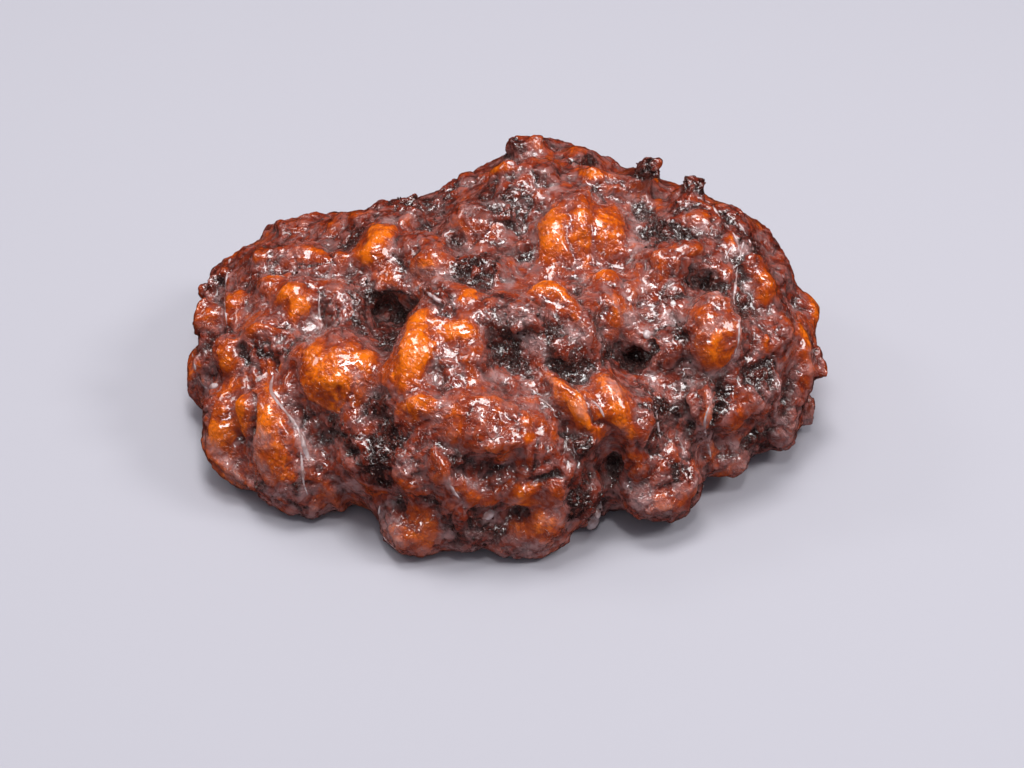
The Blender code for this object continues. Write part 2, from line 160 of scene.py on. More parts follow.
class Skin:
    """The outside of a mesh, searched by lines of sight and by nearest place."""

    def __init__(self, mesh: bpy.types.Mesh) -> None:
        """Build the search tree.

        Args:
            mesh: the mesh that is searched.
        """
        shape = bmesh.new()
        shape.from_mesh(mesh)
        self.tree = BVHTree.FromBMesh(shape)
        shape.free()

    def seen(self, x_px: float, y_px: float) -> tuple[Vector, Vector]:
        """Find what a pixel of the photograph shows.

        Args:
            x_px, y_px: the pixel.

        Returns:
            The place on the skin and its outward direction; where the pixel misses the
            fritter, those of the skin's nearest place.
        """
        eye, way = SIGHTING.eye(), SIGHTING.way(x_px, y_px)
        place, normal, _, _ = self.tree.ray_cast(eye, way)
        if place is None:
            middle = Vector((0, 0, SEARCH_MIDDLE))
            place, normal, _, _ = self.tree.find_nearest(eye + way * (middle - eye).dot(way))
        return place, normal


@dataclass(frozen=True)
class Points:
    """The points of a mesh as an array, with the edges that join them."""

    places: np.ndarray
    edges: np.ndarray

    @classmethod
    def of(cls, mesh: bpy.types.Mesh) -> "Points":
        """Read a mesh's points and edges.

        Args:
            mesh: the mesh.

        Returns:
            Its points.
        """
        places = np.empty(len(mesh.vertices) * 3)
        mesh.vertices.foreach_get("co", places)
        edges = np.empty(len(mesh.edges) * 2, dtype=np.int64)
        mesh.edges.foreach_get("vertices", edges)
        return cls(places.reshape(-1, 3), edges.reshape(-1, 2))

    @staticmethod
    def write(mesh: bpy.types.Mesh, places: np.ndarray) -> None:
        """Move a mesh's points to new places."""
        mesh.vertices.foreach_set("co", places.ravel())
        mesh.update()

    @staticmethod
    def normals(mesh: bpy.types.Mesh) -> np.ndarray:
        """Read the outward directions at a mesh's points.

        Args:
            mesh: the mesh.

        Returns:
            One direction for each point.
        """
        normals = np.empty(len(mesh.vertices) * 3)
        mesh.vertex_normals.foreach_get("vector", normals)
        return normals.reshape(-1, 3)

    def softened(self, rounds: int) -> np.ndarray:
        """Move each point halfway to its neighbours' middle, again and again.

        Args:
            rounds: how often.

        Returns:
            The new places.
        """
        count = len(self.places)
        one, other = self.edges[:, 0], self.edges[:, 1]
        share = np.bincount(one, minlength=count) + np.bincount(other, minlength=count)
        soft = self.places.copy()
        for _ in range(rounds):
            total = np.empty_like(soft)
            for axis in range(3):
                column = soft[:, axis]
                total[:, axis] = np.bincount(one, column[other], count)
                total[:, axis] += np.bincount(other, column[one], count)
            soft = 0.5 * soft + 0.5 * total / share[:, None]
        return soft

    def relief(self, rounds: int, normals: np.ndarray) -> np.ndarray:
        """Measure how far each point stands out of the softened form.

        Args:
            rounds: how often the form is softened.
            normals: the outward directions at the points.

        Returns:
            The height of each point, below 0 in a hollow.
        """
        return np.sum((self.places - self.softened(rounds)) * normals, axis=1)


def bake_modifiers(obj: bpy.types.Object) -> None:
    """Apply an object's modifiers by giving it the mesh that they make.

    Args:
        obj: the object.
    """
    seen = obj.evaluated_get(bpy.context.evaluated_depsgraph_get())
    mesh = bpy.data.meshes.new_from_object(seen)
    obj.modifiers.clear()
    old, obj.data = obj.data, mesh
    bpy.data.meshes.remove(old)


def new_object(name: str, shape: bmesh.types.BMesh) -> bpy.types.Object:
    """Turn a bmesh into an object of the scene.

    Args:
        name: the object's name.
        shape: the bmesh, which is used up.

    Returns:
        The object.
    """
    mesh = bpy.data.meshes.new(name)
    shape.to_mesh(mesh)
    shape.free()
    obj = bpy.data.objects.new(name, mesh)
    bpy.context.scene.collection.objects.link(obj)
    return obj


def slanted(normal: Vector, turn: Vector) -> Matrix:
    """Return axes with Z along a normal and X as near as it can be to a direction."""
    along = (turn - normal * turn.dot(normal)).normalized()
    return Matrix((along, normal.cross(along), normal)).transposed()


class Ball:
    """A ball that is copied for each grain, nodule and length of ridge."""

    def __init__(self, detail: int) -> None:
        """Make the ball.

        Args:
            detail: how often its faces are divided.
        """
        shape = bmesh.new()
        bmesh.ops.create_icosphere(shape, subdivisions=detail, radius=1)
        self.mesh = bpy.data.meshes.new("ball")
        shape.to_mesh(self.mesh)
        shape.free()

    def add(self, shape: bmesh.types.BMesh, place: Vector, axes: Matrix, half: tuple) -> None:
        """Add a copy to a bmesh.

        Args:
            shape: the bmesh.
            place: the copy's middle.
            axes: its three axes as a matrix's columns.
            half: its half size along each axis.
        """
        copy = self.mesh.copy()
        copy.transform(Matrix.Translation(place) @ axes.to_4x4() @ Matrix.Diagonal((*half, 1)))
        shape.from_mesh(copy)
        bpy.data.meshes.remove(copy)


Number = Union[int, float, "Wire"]


class Wire:
    """A number that runs through a shader; arithmetic on it adds Math nodes."""

    def __init__(self, finish: "Shader", socket: bpy.types.NodeSocket) -> None:
        """Wrap a socket of a shader."""
        self.finish = finish
        self.socket = socket

    def _math(self, operation: str, *values: Number) -> "Wire":
        """Add a Math node that works on some values."""
        node = self.finish.node("ShaderNodeMath", {"operation": operation}, dict(enumerate(values)))
        return Wire(self.finish, node.outputs[0])

    def __add__(self, other: Number) -> "Wire":
        """Add."""
        return self._math("ADD", self, other)

    __radd__ = __add__

    def __sub__(self, other: Number) -> "Wire":
        """Take away."""
        return self._math("SUBTRACT", self, other)

    def __rsub__(self, other: Number) -> "Wire":
        """Take away from a plain number."""
        return self._math("SUBTRACT", other, self)

    def __mul__(self, other: Number) -> "Wire":
        """Multiply."""
        return self._math("MULTIPLY", self, other)

    def least(self, other: Number) -> "Wire":
        """Return the smaller of two."""
        return self._math("MINIMUM", self, other)

    def between(self, low: float, high: float) -> "Wire":
        """Return how far the number is from low to high, as 0 to 1 with soft ends."""
        settings = {"interpolation_type": "SMOOTHSTEP"}
        node = self.finish.node("ShaderNodeMapRange", settings, {0: self, 1: low, 2: high})
        return Wire(self.finish, node.outputs[0])


@dataclass(frozen=True)
class Cloud:
    """Cloudy noise: its size in metres, how finely it is divided and how far it is twisted."""

    size: float
    detail: float = 2.0
    twist: float = 0.0


class Shader:
    """A material under construction."""

    def __init__(self, name: str) -> None:
        """Start a material with its surface shader."""
        self.material = bpy.data.materials.new(name)
        self.material.use_nodes = True
        self.tree = self.material.node_tree
        self.surface = self.tree.nodes["Principled BSDF"]
        self.place = self.node("ShaderNodeTexCoord").outputs["Object"]

    def node(self, kind: str, settings: dict | None = None, sockets: dict | None = None) -> bpy.types.Node:
        """Add a node.

        Args:
            kind: the node's type.
            settings: its own settings, set first; stops are a colour ramp's.
            sockets: the value or link of each input socket, by name or number.

        Returns:
            The node.
        """
        node = self.tree.nodes.new(kind)
        for name, value in (settings or {}).items():
            if name == "stops":
                self._set_stops(node.color_ramp, value)
            else:
                setattr(node, name, value)
        self.set(node, sockets or {})
        return node

    def set(self, node: bpy.types.Node, sockets: dict) -> None:
        """Set or link a node's input sockets.

        Args:
            node: the node.
            sockets: the value or link of each input socket, by name or number.
        """
        for name, value in sockets.items():
            value = value.socket if isinstance(value, Wire) else value
            if isinstance(value, bpy.types.NodeSocket):
                self.tree.links.new(value, node.inputs[name])
            else:
                node.inputs[name].default_value = value

    @staticmethod
    def _set_stops(ramp: bpy.types.ColorRamp, stops: tuple) -> None:
        """Give a colour ramp its stops.

        Args:
            ramp: the colour ramp.
            stops: the place and colour of each.
        """
        while len(ramp.elements) < len(stops):
            ramp.elements.new(1.0)
        for element, (place, colour) in zip(ramp.elements, stops):
            element.position = place
            element.color = colour

    def attribute(self, name: str) -> Wire:
        """Read a number that the mesh holds at its points."""
        return Wire(self, self.node("ShaderNodeAttribute", {"attribute_name": name}).outputs["Fac"])

    def noise(self, cloud: Cloud) -> Wire:
        """Add cloudy noise.

        Args:
            cloud: its size and character.

        Returns:
            The noise, 0 to 1.
        """
        sockets = {
            "Vector": self.place,
            "Scale": 1 / cloud.size,
            "Detail": cloud.detail,
            "Distortion": cloud.twist,
        }
        return Wire(self, self.node("ShaderNodeTexNoise", {}, sockets).outputs["Fac"])

    def cells(self, size: float, bend: float, waves: float = 0.7) -> Wire:
        """Measure how far the nearest of scattered points is, as a part of their spacing.

        Args:
            size: the spacing in metres.
            bend: how far noise shifts the points, in metres.
            waves: how many waves the noise has in one spacing.

        Returns:
            The distance, 0 at a point.
        """
        sockets = {"Vector": self.place, "Scale": waves / size}
        shift = self.node("ShaderNodeTexNoise", {}, sockets).outputs["Color"]
        settings = {"operation": "MULTIPLY_ADD"}
        shifted = self.node("ShaderNodeVectorMath", settings, {0: shift, 1: (bend,) * 3, 2: self.place})
        sockets = {"Vector": shifted.outputs["Vector"], "Scale": 1 / size}
        return Wire(self, self.node("ShaderNodeTexVoronoi", {}, sockets).outputs["Distance"])

    def ramp(self, level: Wire, stops: tuple) -> bpy.types.NodeSocket:
        """Return the colour that a ramp gives for a level."""
        return self.node("ShaderNodeValToRGB", {"stops": stops}, {"Fac": level}).outputs["Color"]

    def mix(self, share: Wire, under: object, over: object) -> bpy.types.NodeSocket:
        """Return a mix of two colours; the share is the second's."""
        node = self.node("ShaderNodeMix", {"data_type": "RGBA"}, {0: share, 6: under, 7: over})
        return node.outputs[2]

    def bump(self, height: Wire, distance: float, strength: float) -> bpy.types.NodeSocket:
        """Return the normal of a surface with a relief on it."""
        sockets = {"Height": height, "Distance": distance, "Strength": strength}
        return self.node("ShaderNodeBump", {}, sockets).outputs["Normal"]

    def finish(self, **sockets: object) -> bpy.types.Material:
        """Set the surface shader's sockets.

        Args:
            sockets: the value or link of each, named with underscores for spaces.

        Returns:
            The finished material.
        """
        self.set(self.surface, {name.replace("_", " "): value for name, value in sockets.items()})
        return self.material


@dataclass(frozen=True)
class CrustFinish:
    """Fried dough under a thin sugar glaze, browned unevenly, with painted shade in its creases and painted
    sheen, glints and highlights in the pale glaze colour.
    """

    browning_and_shade: tuple = (
        (0.0, display_colour(248, 118, 16)),
        (0.16, display_colour(191, 77, 18)),
        (0.34, display_colour(155, 58, 25)),
        (0.52, display_colour(132, 46, 28)),
        (0.72, display_colour(92, 36, 28)),
        (1.0, display_colour(44, 21, 19)),
    )
    # Pale pink of thick glaze, which also paints sheen, glints, highlights and the floor's reflection.
    glaze_and_sheen: tuple = display_colour(206, 166, 163)
    mottle: Cloud = Cloud(4 * MM, 4.0, 0.6)
    blush: Cloud = Cloud(1.9 * MM, 2.0, 0.4)
    grain: Cloud = Cloud(1.1 * MM, 3.0)
    cloud_middle: float = 0.45
    mottle_share: float = 0.6
    grain_share: float = 0.4
    blush_share: float = 0.5
    least_patchy: float = 0.6
    patchy_range: tuple[float, float] = (0.02, 0.3)
    crease_shade_share: float = 0.12
    curl: Cloud = Cloud(2.2 * MM, 1.0, 1.4)
    thread_width: float = 0.0014
    cloud: Cloud = Cloud(2.6 * MM, 3.0, 0.8)
    haze_and_sheen_range: tuple[float, float] = (0.18, 0.44)
    clear_range: tuple[float, float] = (0.5, 0.8)
    haze_and_sheen_cloud_range: tuple[float, float] = (0.42, 0.62)
    haze_and_sheen_share: float = 0.33
    film_cloud_range: tuple[float, float] = (0.4, 0.65)
    least_film: float = 0.42
    bare_thread_glint: float = 0.06
    film_thread_glint: float = 0.4
    thickest: float = 0.9
    cover: float = 0.62
    rough_range: tuple[float, float] = (0.45, 0.9)
    melt: Cloud = Cloud(2.6 * MM, 1.0, 0.8)
    wrinkle: Cloud = Cloud(1.3 * MM, 1.0, 1.0)
    drop_size: float = 1.25 * MM
    drop_bend: float = 1.5 * MM
    drop_fall: float = 1.6
    melt_height: float = 0.6
    wrinkle_height: float = 0.42
    grain_height: float = 0.34
    thread_height: float = 0.17
    relief: float = 1.0 * MM
    smear: Cloud = Cloud(2.4 * MM)
    smoothest: float = 0.07
    smear_share: float = 0.12
    film_share: float = 0.12

    def _browned_and_shaded(self, shader: Shader, browned: Wire) -> bpy.types.NodeSocket:
        """Colour the bare crust, with painted shade in its fine creases.

        Args:
            shader: the crust's shader.
            browned: how far it is browned.

        Returns:
            The colour.
        """
        crease_shade = shader.attribute("crease_shade")
        mottle, blush, grain = (shader.noise(cloud) for cloud in (self.mottle, self.blush, self.grain))
        patchy = self.least_patchy + browned.between(*self.patchy_range) * (1 - self.least_patchy)
        uneven = (mottle - self.cloud_middle) * self.mottle_share + (grain - 0.5) * self.grain_share
        uneven += (blush - self.cloud_middle) * self.blush_share
        # Painted shade: the crease measure darkens the crust in its fine hollows and lightens it on its
        # small bumps.
        level = browned + uneven * patchy + crease_shade * self.crease_shade_share
        return shader.ramp(level, self.browning_and_shade)

    def _veil(self, shader: Shader, browned: Wire, film_and_reflection: Wire, thread: Wire) -> Wire:
        """Work out how much of the pale glaze colour covers the crust, partly as painted sheen and painted
        glints.

        Args:
            shader: the crust's shader.
            browned: how far the crust is browned.
            film_and_reflection: how thick the glaze lies, partly painted highlights and painted reflection
                of the floor.
            thread: fine curling lines, 1 along them.

        Returns:
            The share of the pale glaze colour, partly painted sheen and glints.
        """
        cloud = shader.noise(self.cloud)
        clear = 1 - browned.between(*self.clear_range)
        # Partly painted sheen: a pale haze over mid-browned crust stands in for broad reflections, and
        # partly for a thin veil of glaze.
        haze_and_sheen = browned.between(*self.haze_and_sheen_range) * clear
        haze_and_sheen = haze_and_sheen * cloud.between(*self.haze_and_sheen_cloud_range) * self.haze_and_sheen_share
        thick = self.least_film + cloud.between(*self.film_cloud_range) * (1 - self.least_film)
        # Partly painted glints: the curling lines turn pale, standing in for small highlights as well as for
        # thin lines of glaze.
        threads_and_glints = thread * (self.bare_thread_glint + film_and_reflection * self.film_thread_glint)
        return (film_and_reflection * thick + threads_and_glints + haze_and_sheen).least(self.thickest) * self.cover

    def _relief(self, shader: Shader, browned: Wire, thread: Wire) -> Wire:
        """Work out the fine relief of the glazed crust.

        Args:
            shader: the crust's shader.
            browned: how far the crust is browned; grains show only where it is dark.
            thread: fine curling lines, 1 along them.

        Returns:
            The relief's height.
        """
        drop = shader.cells(self.drop_size, self.drop_bend)
        grains = (1 - drop * drop * self.drop_fall) * browned.between(*self.rough_range)
        waves = shader.noise(self.melt) * self.melt_height + shader.noise(self.wrinkle) * self.wrinkle_height
        return waves + grains * self.grain_height + thread * self.thread_height

    def material(self) -> bpy.types.Material:
        """Build the crust's material.

        Returns:
            The material.
        """
        shader = Shader("glazed_crust")
        browned, film_and_reflection = shader.attribute("browning_and_shade"), shader.attribute("film_and_reflection")
        off_middle = shader.noise(self.curl) - 0.5
        thread = 1 - (off_middle * off_middle).between(0.0, self.thread_width)
        bare = self._browned_and_shaded(shader, browned)
        return shader.finish(
            Base_Color=shader.mix(self._veil(shader, browned, film_and_reflection, thread), bare, self.glaze_and_sheen),
            Roughness=self.smoothest + shader.noise(self.smear) * self.smear_share + film_and_reflection * self.film_share,
            Coat_Weight=1.0,
            Coat_Roughness=0.05,
            Specular_IOR_Level=0.7,
            Normal=shader.bump(self._relief(shader, browned, thread), self.relief, 1.0),
        )


@dataclass(frozen=True)
class SugaryFinish:
    """Sugar or sugared crumb of two mixed colours, with a fine relief."""

    name: str
    colours: tuple
    cloud: Cloud
    mixed_range: tuple[float, float]
    smoothest: float
    uneven: float
    coat: float
    coat_roughness: float
    bumps: Cloud
    bump_height: float
    bump_strength: float

    def material(self) -> bpy.types.Material:
        """Build the material.

        Returns:
            The material.
        """
        shader = Shader(self.name)
        cloud = shader.noise(self.cloud)
        return shader.finish(
            Base_Color=shader.mix(cloud.between(*self.mixed_range), *self.colours),
            Roughness=self.smoothest + cloud * self.uneven,
            Coat_Weight=self.coat,
            Coat_Roughness=self.coat_roughness,
            Normal=shader.bump(shader.noise(self.bumps), self.bump_height, self.bump_strength),
        )


# Crisp crumbs of batter, fried dark and glazed
CRUMB_FINISH = SugaryFinish(
    name="crisp_crumb",
    colours=(display_colour(56, 26, 21), display_colour(112, 48, 34)),
    cloud=Cloud(2.5 * MM, 3.0),
    mixed_range=(0.45, 0.75),
    smoothest=0.18,
    uneven=0.2,
    coat=0.4,
    coat_roughness=0.1,
    bumps=Cloud(0.6 * MM, 3.0),
    bump_height=0.3 * MM,
    bump_strength=0.6,
)

# Dried sugar glaze: milky where it is thick
GLAZE_FINISH = SugaryFinish(
    name="sugar_glaze",
    colours=(display_colour(160, 124, 119), display_colour(210, 190, 190)),
    cloud=Cloud(2 * MM),
    mixed_range=(0.35, 0.65),
    smoothest=0.12,
    uneven=0.15,
    coat=0.5,
    coat_roughness=0.08,
    bumps=Cloud(2 * MM),
    bump_height=0.2 * MM,
    bump_strength=0.4,
)


@dataclass(frozen=True)
class FloorFinish:
    """Smooth pale studio floor."""

    colour: tuple = display_colour(182, 180, 188)

    def material(self) -> bpy.types.Material:
        """Build the floor's material.

        Returns:
            The material.
        """
        shader = Shader("pale_floor")
        return shader.finish(Base_Color=self.colour, Roughness=0.85, Specular_IOR_Level=0.2)


# Bulges of the crust by the browning of their tops: x, y, half width and half height in the
# photograph's pixels, and the turn in degrees against the clock of those that are turned
LUMPS = {
    Browning.GOLD: (
        (338, 362, 26, 18, -4), (414, 356, 18, 34, -14),
    ),
    Browning.ORANGE: (
        (296, 303, 23, 22, -20), (228, 428, 19, 50, -5), (274, 430, 18, 50, 6), (383, 253, 18, 41, 5),
        (340, 262, 17, 15), (500, 171, 30, 8, 12), (593, 172, 17, 9), (557, 244, 18, 34, 3),
        (583, 228, 17, 40), (612, 232, 15, 34), (602, 278, 18, 12), (613, 318, 12, 24, 10),
        (548, 285, 16, 18), (672, 188, 19, 10), (765, 288, 15, 25, 10), (730, 232, 9, 13),
        (524, 490, 15, 13), (535, 528, 28, 18), (468, 297, 12, 13), (463, 334, 22, 14, 8),
        (336, 374, 46, 36, -4), (577, 410, 12, 35, 42), (617, 408, 14, 37, 28), (803, 342, 8, 22, -3),
    ),
    Browning.AMBER: (
        (223, 354, 18, 17), (237, 311, 11, 24, -5), (258, 329, 17, 11), (432, 262, 25, 19, -10),
        (475, 225, 36, 18), (412, 222, 17, 12), (334, 495, 9, 29, 35), (467, 489, 15, 11, 20),
        (556, 494, 11, 15), (440, 470, 10, 22, 20), (424, 405, 16, 13), (478, 424, 50, 34, -12),
        (553, 152, 11, 8), (768, 346, 14, 14), (713, 333, 27, 37), (300, 247, 31, 12, 5),
        (580, 328, 9, 42, 29), (417, 529, 31, 26), (736, 420, 12, 24, -8), (658, 262, 13, 17),
        (640, 284, 14, 17), (576, 192, 10, 10), (655, 206, 9, 8),
    ),
    Browning.RUSSET: (
        (413, 487, 14, 13), (700, 402, 16, 28, -6), (800, 400, 9, 26, -6), (679, 265, 10, 15),
        (255, 271, 26, 23), (212, 328, 14, 19), (203, 363, 12, 18), (278, 331, 14, 11),
        (375, 212, 26, 13, 5), (528, 143, 28, 13, -8), (572, 170, 9, 9), (541, 168, 19, 12),
        (615, 187, 14, 10), (645, 187, 16, 10), (694, 226, 20, 16), (712, 212, 15, 10, -40),
        (404, 470, 12, 26), (348, 467, 18, 14), (735, 386, 10, 14), (750, 332, 13, 24),
        (785, 322, 11, 18, 10), (790, 276, 11, 24, 20), (635, 462, 17, 15), (663, 477, 14, 14),
        (700, 247, 13, 8), (720, 268, 13, 13), (665, 353, 20, 14), (746, 222, 15, 11, -42),
        (590, 484, 9, 18), (786, 426, 16, 27, -14), (652, 503, 26, 15), (722, 456, 14, 7),
        (730, 470, 20, 8, 10), (290, 474, 11, 22, 5), (289, 398, 12, 14), (500, 545, 22, 11, -5),
        (486, 496, 13, 12),
    ),
    Browning.CHESTNUT: (
        (343, 302, 21, 23), (443, 299, 15, 9, -38), (592, 312, 13, 14), (574, 350, 20, 16),
        (486, 306, 14, 13), (541, 196, 16, 17), (760, 401, 18, 20), (448, 371, 13, 13), (478, 353, 15, 14),
        (650, 415, 13, 18), (456, 516, 12, 16), (685, 489, 14, 15), (570, 478, 12, 12), (414, 203, 12, 9),
        (324, 262, 13, 11),
    ),
    Browning.MAHOGANY: (
        (512, 190, 26, 14), (298, 264, 20, 12), (524, 318, 27, 18, -20), (752, 264, 10, 12),
        (756, 441, 10, 12), (545, 455, 18, 10, 8), (470, 526, 17, 14), (583, 506, 18, 14), (498, 471, 8, 8),
        (458, 460, 7, 7),
    ),
    Browning.CHARRED: (
        (380, 405, 10, 10), (682, 200, 11, 9), (583, 446, 12, 11), (450, 237, 8, 7), (448, 312, 9, 7),
        (596, 184, 7, 8),
    ),
}

# Browning that doesn't follow the bulges, with the same numbers
PATCHES = {
    Browning.ORANGE: (
        (425, 527, 14, 16), (358, 366, 16, 20), (404, 374, 14, 12), (300, 300, 8, 16), (505, 456, 8, 7),
        (528, 436, 8, 7), (424, 405, 16, 10), (610, 275, 22, 12, 20), (447, 412, 7, 6),
        (468, 432, 8, 6, 30), (500, 414, 8, 5), (484, 446, 9, 6), (512, 430, 6, 6), (585, 236, 42, 32),
        (228, 430, 15, 40, -5), (272, 430, 15, 42, 6), (284, 300, 19, 15), (380, 252, 11, 32, 5),
        (708, 314, 10, 8), (440, 338, 24, 17, -10),
    ),
    Browning.AMBER: (
        (713, 333, 22, 30), (455, 352, 14, 12), (286, 386, 10, 12), (470, 375, 12, 9), (515, 384, 9, 7),
        (395, 412, 12, 9), (328, 402, 34, 9, -6), (720, 352, 18, 13), (558, 310, 8, 32, 29),
        (262, 308, 34, 16),
    ),
    Browning.RUSSET: (
        (480, 424, 46, 32, -12), (540, 415, 10, 8), (520, 460, 12, 6), (360, 340, 16, 14),
        (620, 345, 12, 10), (775, 262, 10, 10), (540, 149, 18, 9), (800, 290, 12, 20, 20),
        (292, 264, 42, 16, 5), (246, 268, 22, 16, 20),
    ),
    Browning.CHESTNUT: (
        (398, 262, 7, 22, 5), (387, 222, 9, 6), (365, 320, 14, 12), (250, 255, 12, 5, 20),
    ),
    Browning.MAHOGANY: (
        (517, 146, 17, 11), (280, 344, 18, 10), (330, 428, 24, 12), (440, 510, 10, 14), (490, 530, 14, 10),
        (680, 336, 10, 12), (705, 192, 8, 10), (212, 460, 5, 14, 25), (745, 300, 8, 14), (285, 440, 6, 10),
        (640, 446, 12, 8), (575, 440, 16, 6, -10), (762, 378, 12, 8),
    ),
    # Dark crust; the charred patches that lie in the pits also darken them as painted shade.
    Browning.CHARRED: (
        (213, 285, 17, 10, 35), (352, 440, 14, 12), (375, 466, 13, 20), (393, 431, 13, 12),
        (368, 449, 14, 9), (392, 340, 12, 14), (390, 310, 24, 17), (479, 270, 24, 16), (502, 206, 18, 8),
        (585, 158, 18, 7, -5), (651, 162, 15, 16), (697, 183, 15, 12), (666, 234, 20, 14),
        (645, 214, 7, 10), (672, 290, 12, 9), (704, 282, 14, 13), (508, 318, 20, 12), (500, 350, 12, 14),
        (516, 363, 16, 7, -30), (566, 371, 14, 12, -20), (626, 358, 18, 13), (541, 334, 8, 5),
        (615, 465, 9, 12), (520, 512, 13, 6, 15), (545, 474, 14, 4), (665, 412, 9, 16), (640, 389, 12, 8),
        (686, 478, 12, 11), (721, 402, 5, 18), (741, 264, 8, 14), (352, 509, 9, 7), (273, 353, 11, 8),
        (246, 350, 5, 12, 10), (262, 485, 6, 4), (592, 511, 12, 10), (757, 430, 9, 7),
        (426, 504, 12, 6, -15), (577, 284, 5, 14, -25), (768, 366, 8, 7), (810, 415, 4, 12),
        (300, 478, 5, 10), (652, 352, 7, 6), (526, 251, 12, 11), (508, 216, 10, 9), (473, 527, 12, 9),
    ),
}

# Browning that corrects the patches and sets no crags
TONES = {
    Browning.ORANGE: (
        (577, 408, 8, 32, 42), (440, 345, 18, 13, -10),
    ),
    Browning.RUSSET: (
        (698, 200, 22, 10, -10), (515, 186, 30, 12), (300, 276, 26, 12), (265, 262, 20, 10),
        (450, 370, 14, 12),
    ),
    Browning.CHESTNUT: (
        (518, 206, 26, 24), (486, 268, 14, 10),
    ),
}

# Where the glaze lies thick enough to look milky, and where pale patches are painted highlights of the
# glaze: the same numbers, all with their turn, and how milky
FILMS_AND_HIGHLIGHTS = (
    (208, 386, 12, 6, 10, 1.0), (196, 370, 4, 16, 5, 0.9), (216, 303, 14, 7, 20, 0.6),
    (262, 436, 9, 13, 20, 0.9), (224, 459, 8, 38, 34, 0.9), (259, 458, 5, 25, 28, 0.7),
    (280, 494, 24, 6, -16, 0.8), (307, 448, 8, 24, 15, 1.0), (304, 485, 4, 22, 8, 0.8),
    (351, 488, 14, 9, 0, 1.0), (330, 513, 20, 4, -22, 0.8), (358, 524, 16, 4, -8, 0.8),
    (391, 532, 11, 24, 24, 1.0), (413, 551, 20, 6, 0, 0.9), (393, 503, 9, 6, 0, 0.7),
    (448, 536, 10, 10, 0, 0.8), (472, 532, 14, 11, 0, 0.5), (487, 515, 8, 7, 0, 1.0),
    (461, 550, 18, 6, 0, 0.9), (500, 549, 20, 8, -5, 0.6), (540, 549, 24, 8, 5, 0.8),
    (555, 518, 11, 12, 0, 0.7), (517, 501, 10, 4, 5, 0.6), (452, 490, 4, 18, 30, 0.8),
    (467, 477, 4, 15, 56, 0.7), (595, 527, 7, 7, 0, 1.0), (604, 447, 7, 5, 0, 1.0),
    (637, 488, 16, 7, 0, 0.9), (652, 508, 22, 12, 0, 0.8), (590, 481, 3, 12, -5, 0.7),
    (604, 480, 5, 8, 0, 0.6), (532, 345, 22, 7, -32, 0.9), (520, 316, 24, 10, -10, 0.5),
    (572, 335, 15, 7, -30, 0.6), (609, 300, 15, 4, -50, 0.7), (601, 338, 4, 13, 0, 0.8),
    (634, 315, 10, 9, 0, 0.7), (644, 285, 6, 8, 0, 0.8), (628, 292, 6, 8, 0, 0.6),
    (675, 318, 13, 10, 0, 1.0), (648, 331, 7, 8, 0, 0.9), (655, 376, 9, 8, -30, 0.7),
    (690, 364, 10, 5, 30, 0.6), (635, 232, 7, 30, 3, 0.8), (640, 246, 14, 7, 0, 0.6),
    (632, 203, 10, 6, -20, 0.5), (437, 276, 22, 10, -25, 0.6), (393, 251, 7, 12, 20, 0.5),
    (387, 222, 8, 5, 0, 0.6), (410, 217, 12, 7, 0, 0.5), (480, 212, 20, 4, -15, 0.5),
    (505, 283, 6, 10, 0, 0.7), (492, 202, 14, 5, -5, 0.6), (516, 203, 10, 5, 0, 0.6),
    (524, 265, 8, 5, 0, 0.7), (553, 188, 8, 7, 0, 0.5), (503, 156, 9, 6, 20, 0.6),
    (524, 151, 14, 5, 0, 0.35), (357, 378, 7, 9, 0, 0.6), (367, 391, 8, 4, -10, 0.6),
    (497, 378, 14, 7, -12, 1.0), (708, 328, 11, 9, 0, 0.6), (737, 335, 4, 27, 0, 0.9),
    (733, 362, 6, 9, 0, 0.7), (715, 370, 14, 5, 0, 0.7), (690, 383, 14, 7, 0, 0.6),
    (703, 441, 8, 24, 14, 0.8), (709, 408, 3, 24, -12, 0.7), (744, 248, 15, 9, 0, 0.7),
    (717, 294, 16, 3, 0, 0.8), (700, 262, 10, 6, 0, 0.5), (700, 233, 12, 6, -20, 0.5),
    (778, 388, 4, 30, -2, 0.7), (786, 433, 15, 24, -14, 0.7), (735, 468, 20, 8, 10, 0.8),
    (738, 446, 10, 6, 0, 0.8), (813, 366, 4, 26, 0, 0.6), (798, 306, 5, 10, 30, 0.6),
    (760, 398, 14, 14, 0, 0.35), (790, 356, 3, 8, 0, 0.6), (668, 451, 10, 8, 0, 0.7),
    (686, 450, 4, 14, 22, 0.6), (698, 486, 5, 16, 0, 0.7), (297, 252, 14, 6, 0, 0.4),
    (310, 243, 14, 5, 15, 0.4), (335, 288, 12, 6, 0, 0.4), (583, 411, 10, 6, -30, 0.6),
    (612, 388, 12, 9, -35, 0.6), (550, 382, 9, 4, -30, 0.5), (620, 431, 10, 6, 0, 0.4),
    (617, 350, 10, 6, 0, 0.5), (482, 412, 8, 7, 0, 0.5), (432, 422, 10, 4, 35, 0.6),
    (442, 405, 5, 10, -15, 0.6), (455, 438, 5, 8, 0, 0.5), (405, 464, 8, 9, 0, 0.5),
    (265, 303, 9, 6, 20, 0.4), (404, 396, 16, 4, 0, 0.4), (392, 394, 9, 6, 10, 0.5),
)

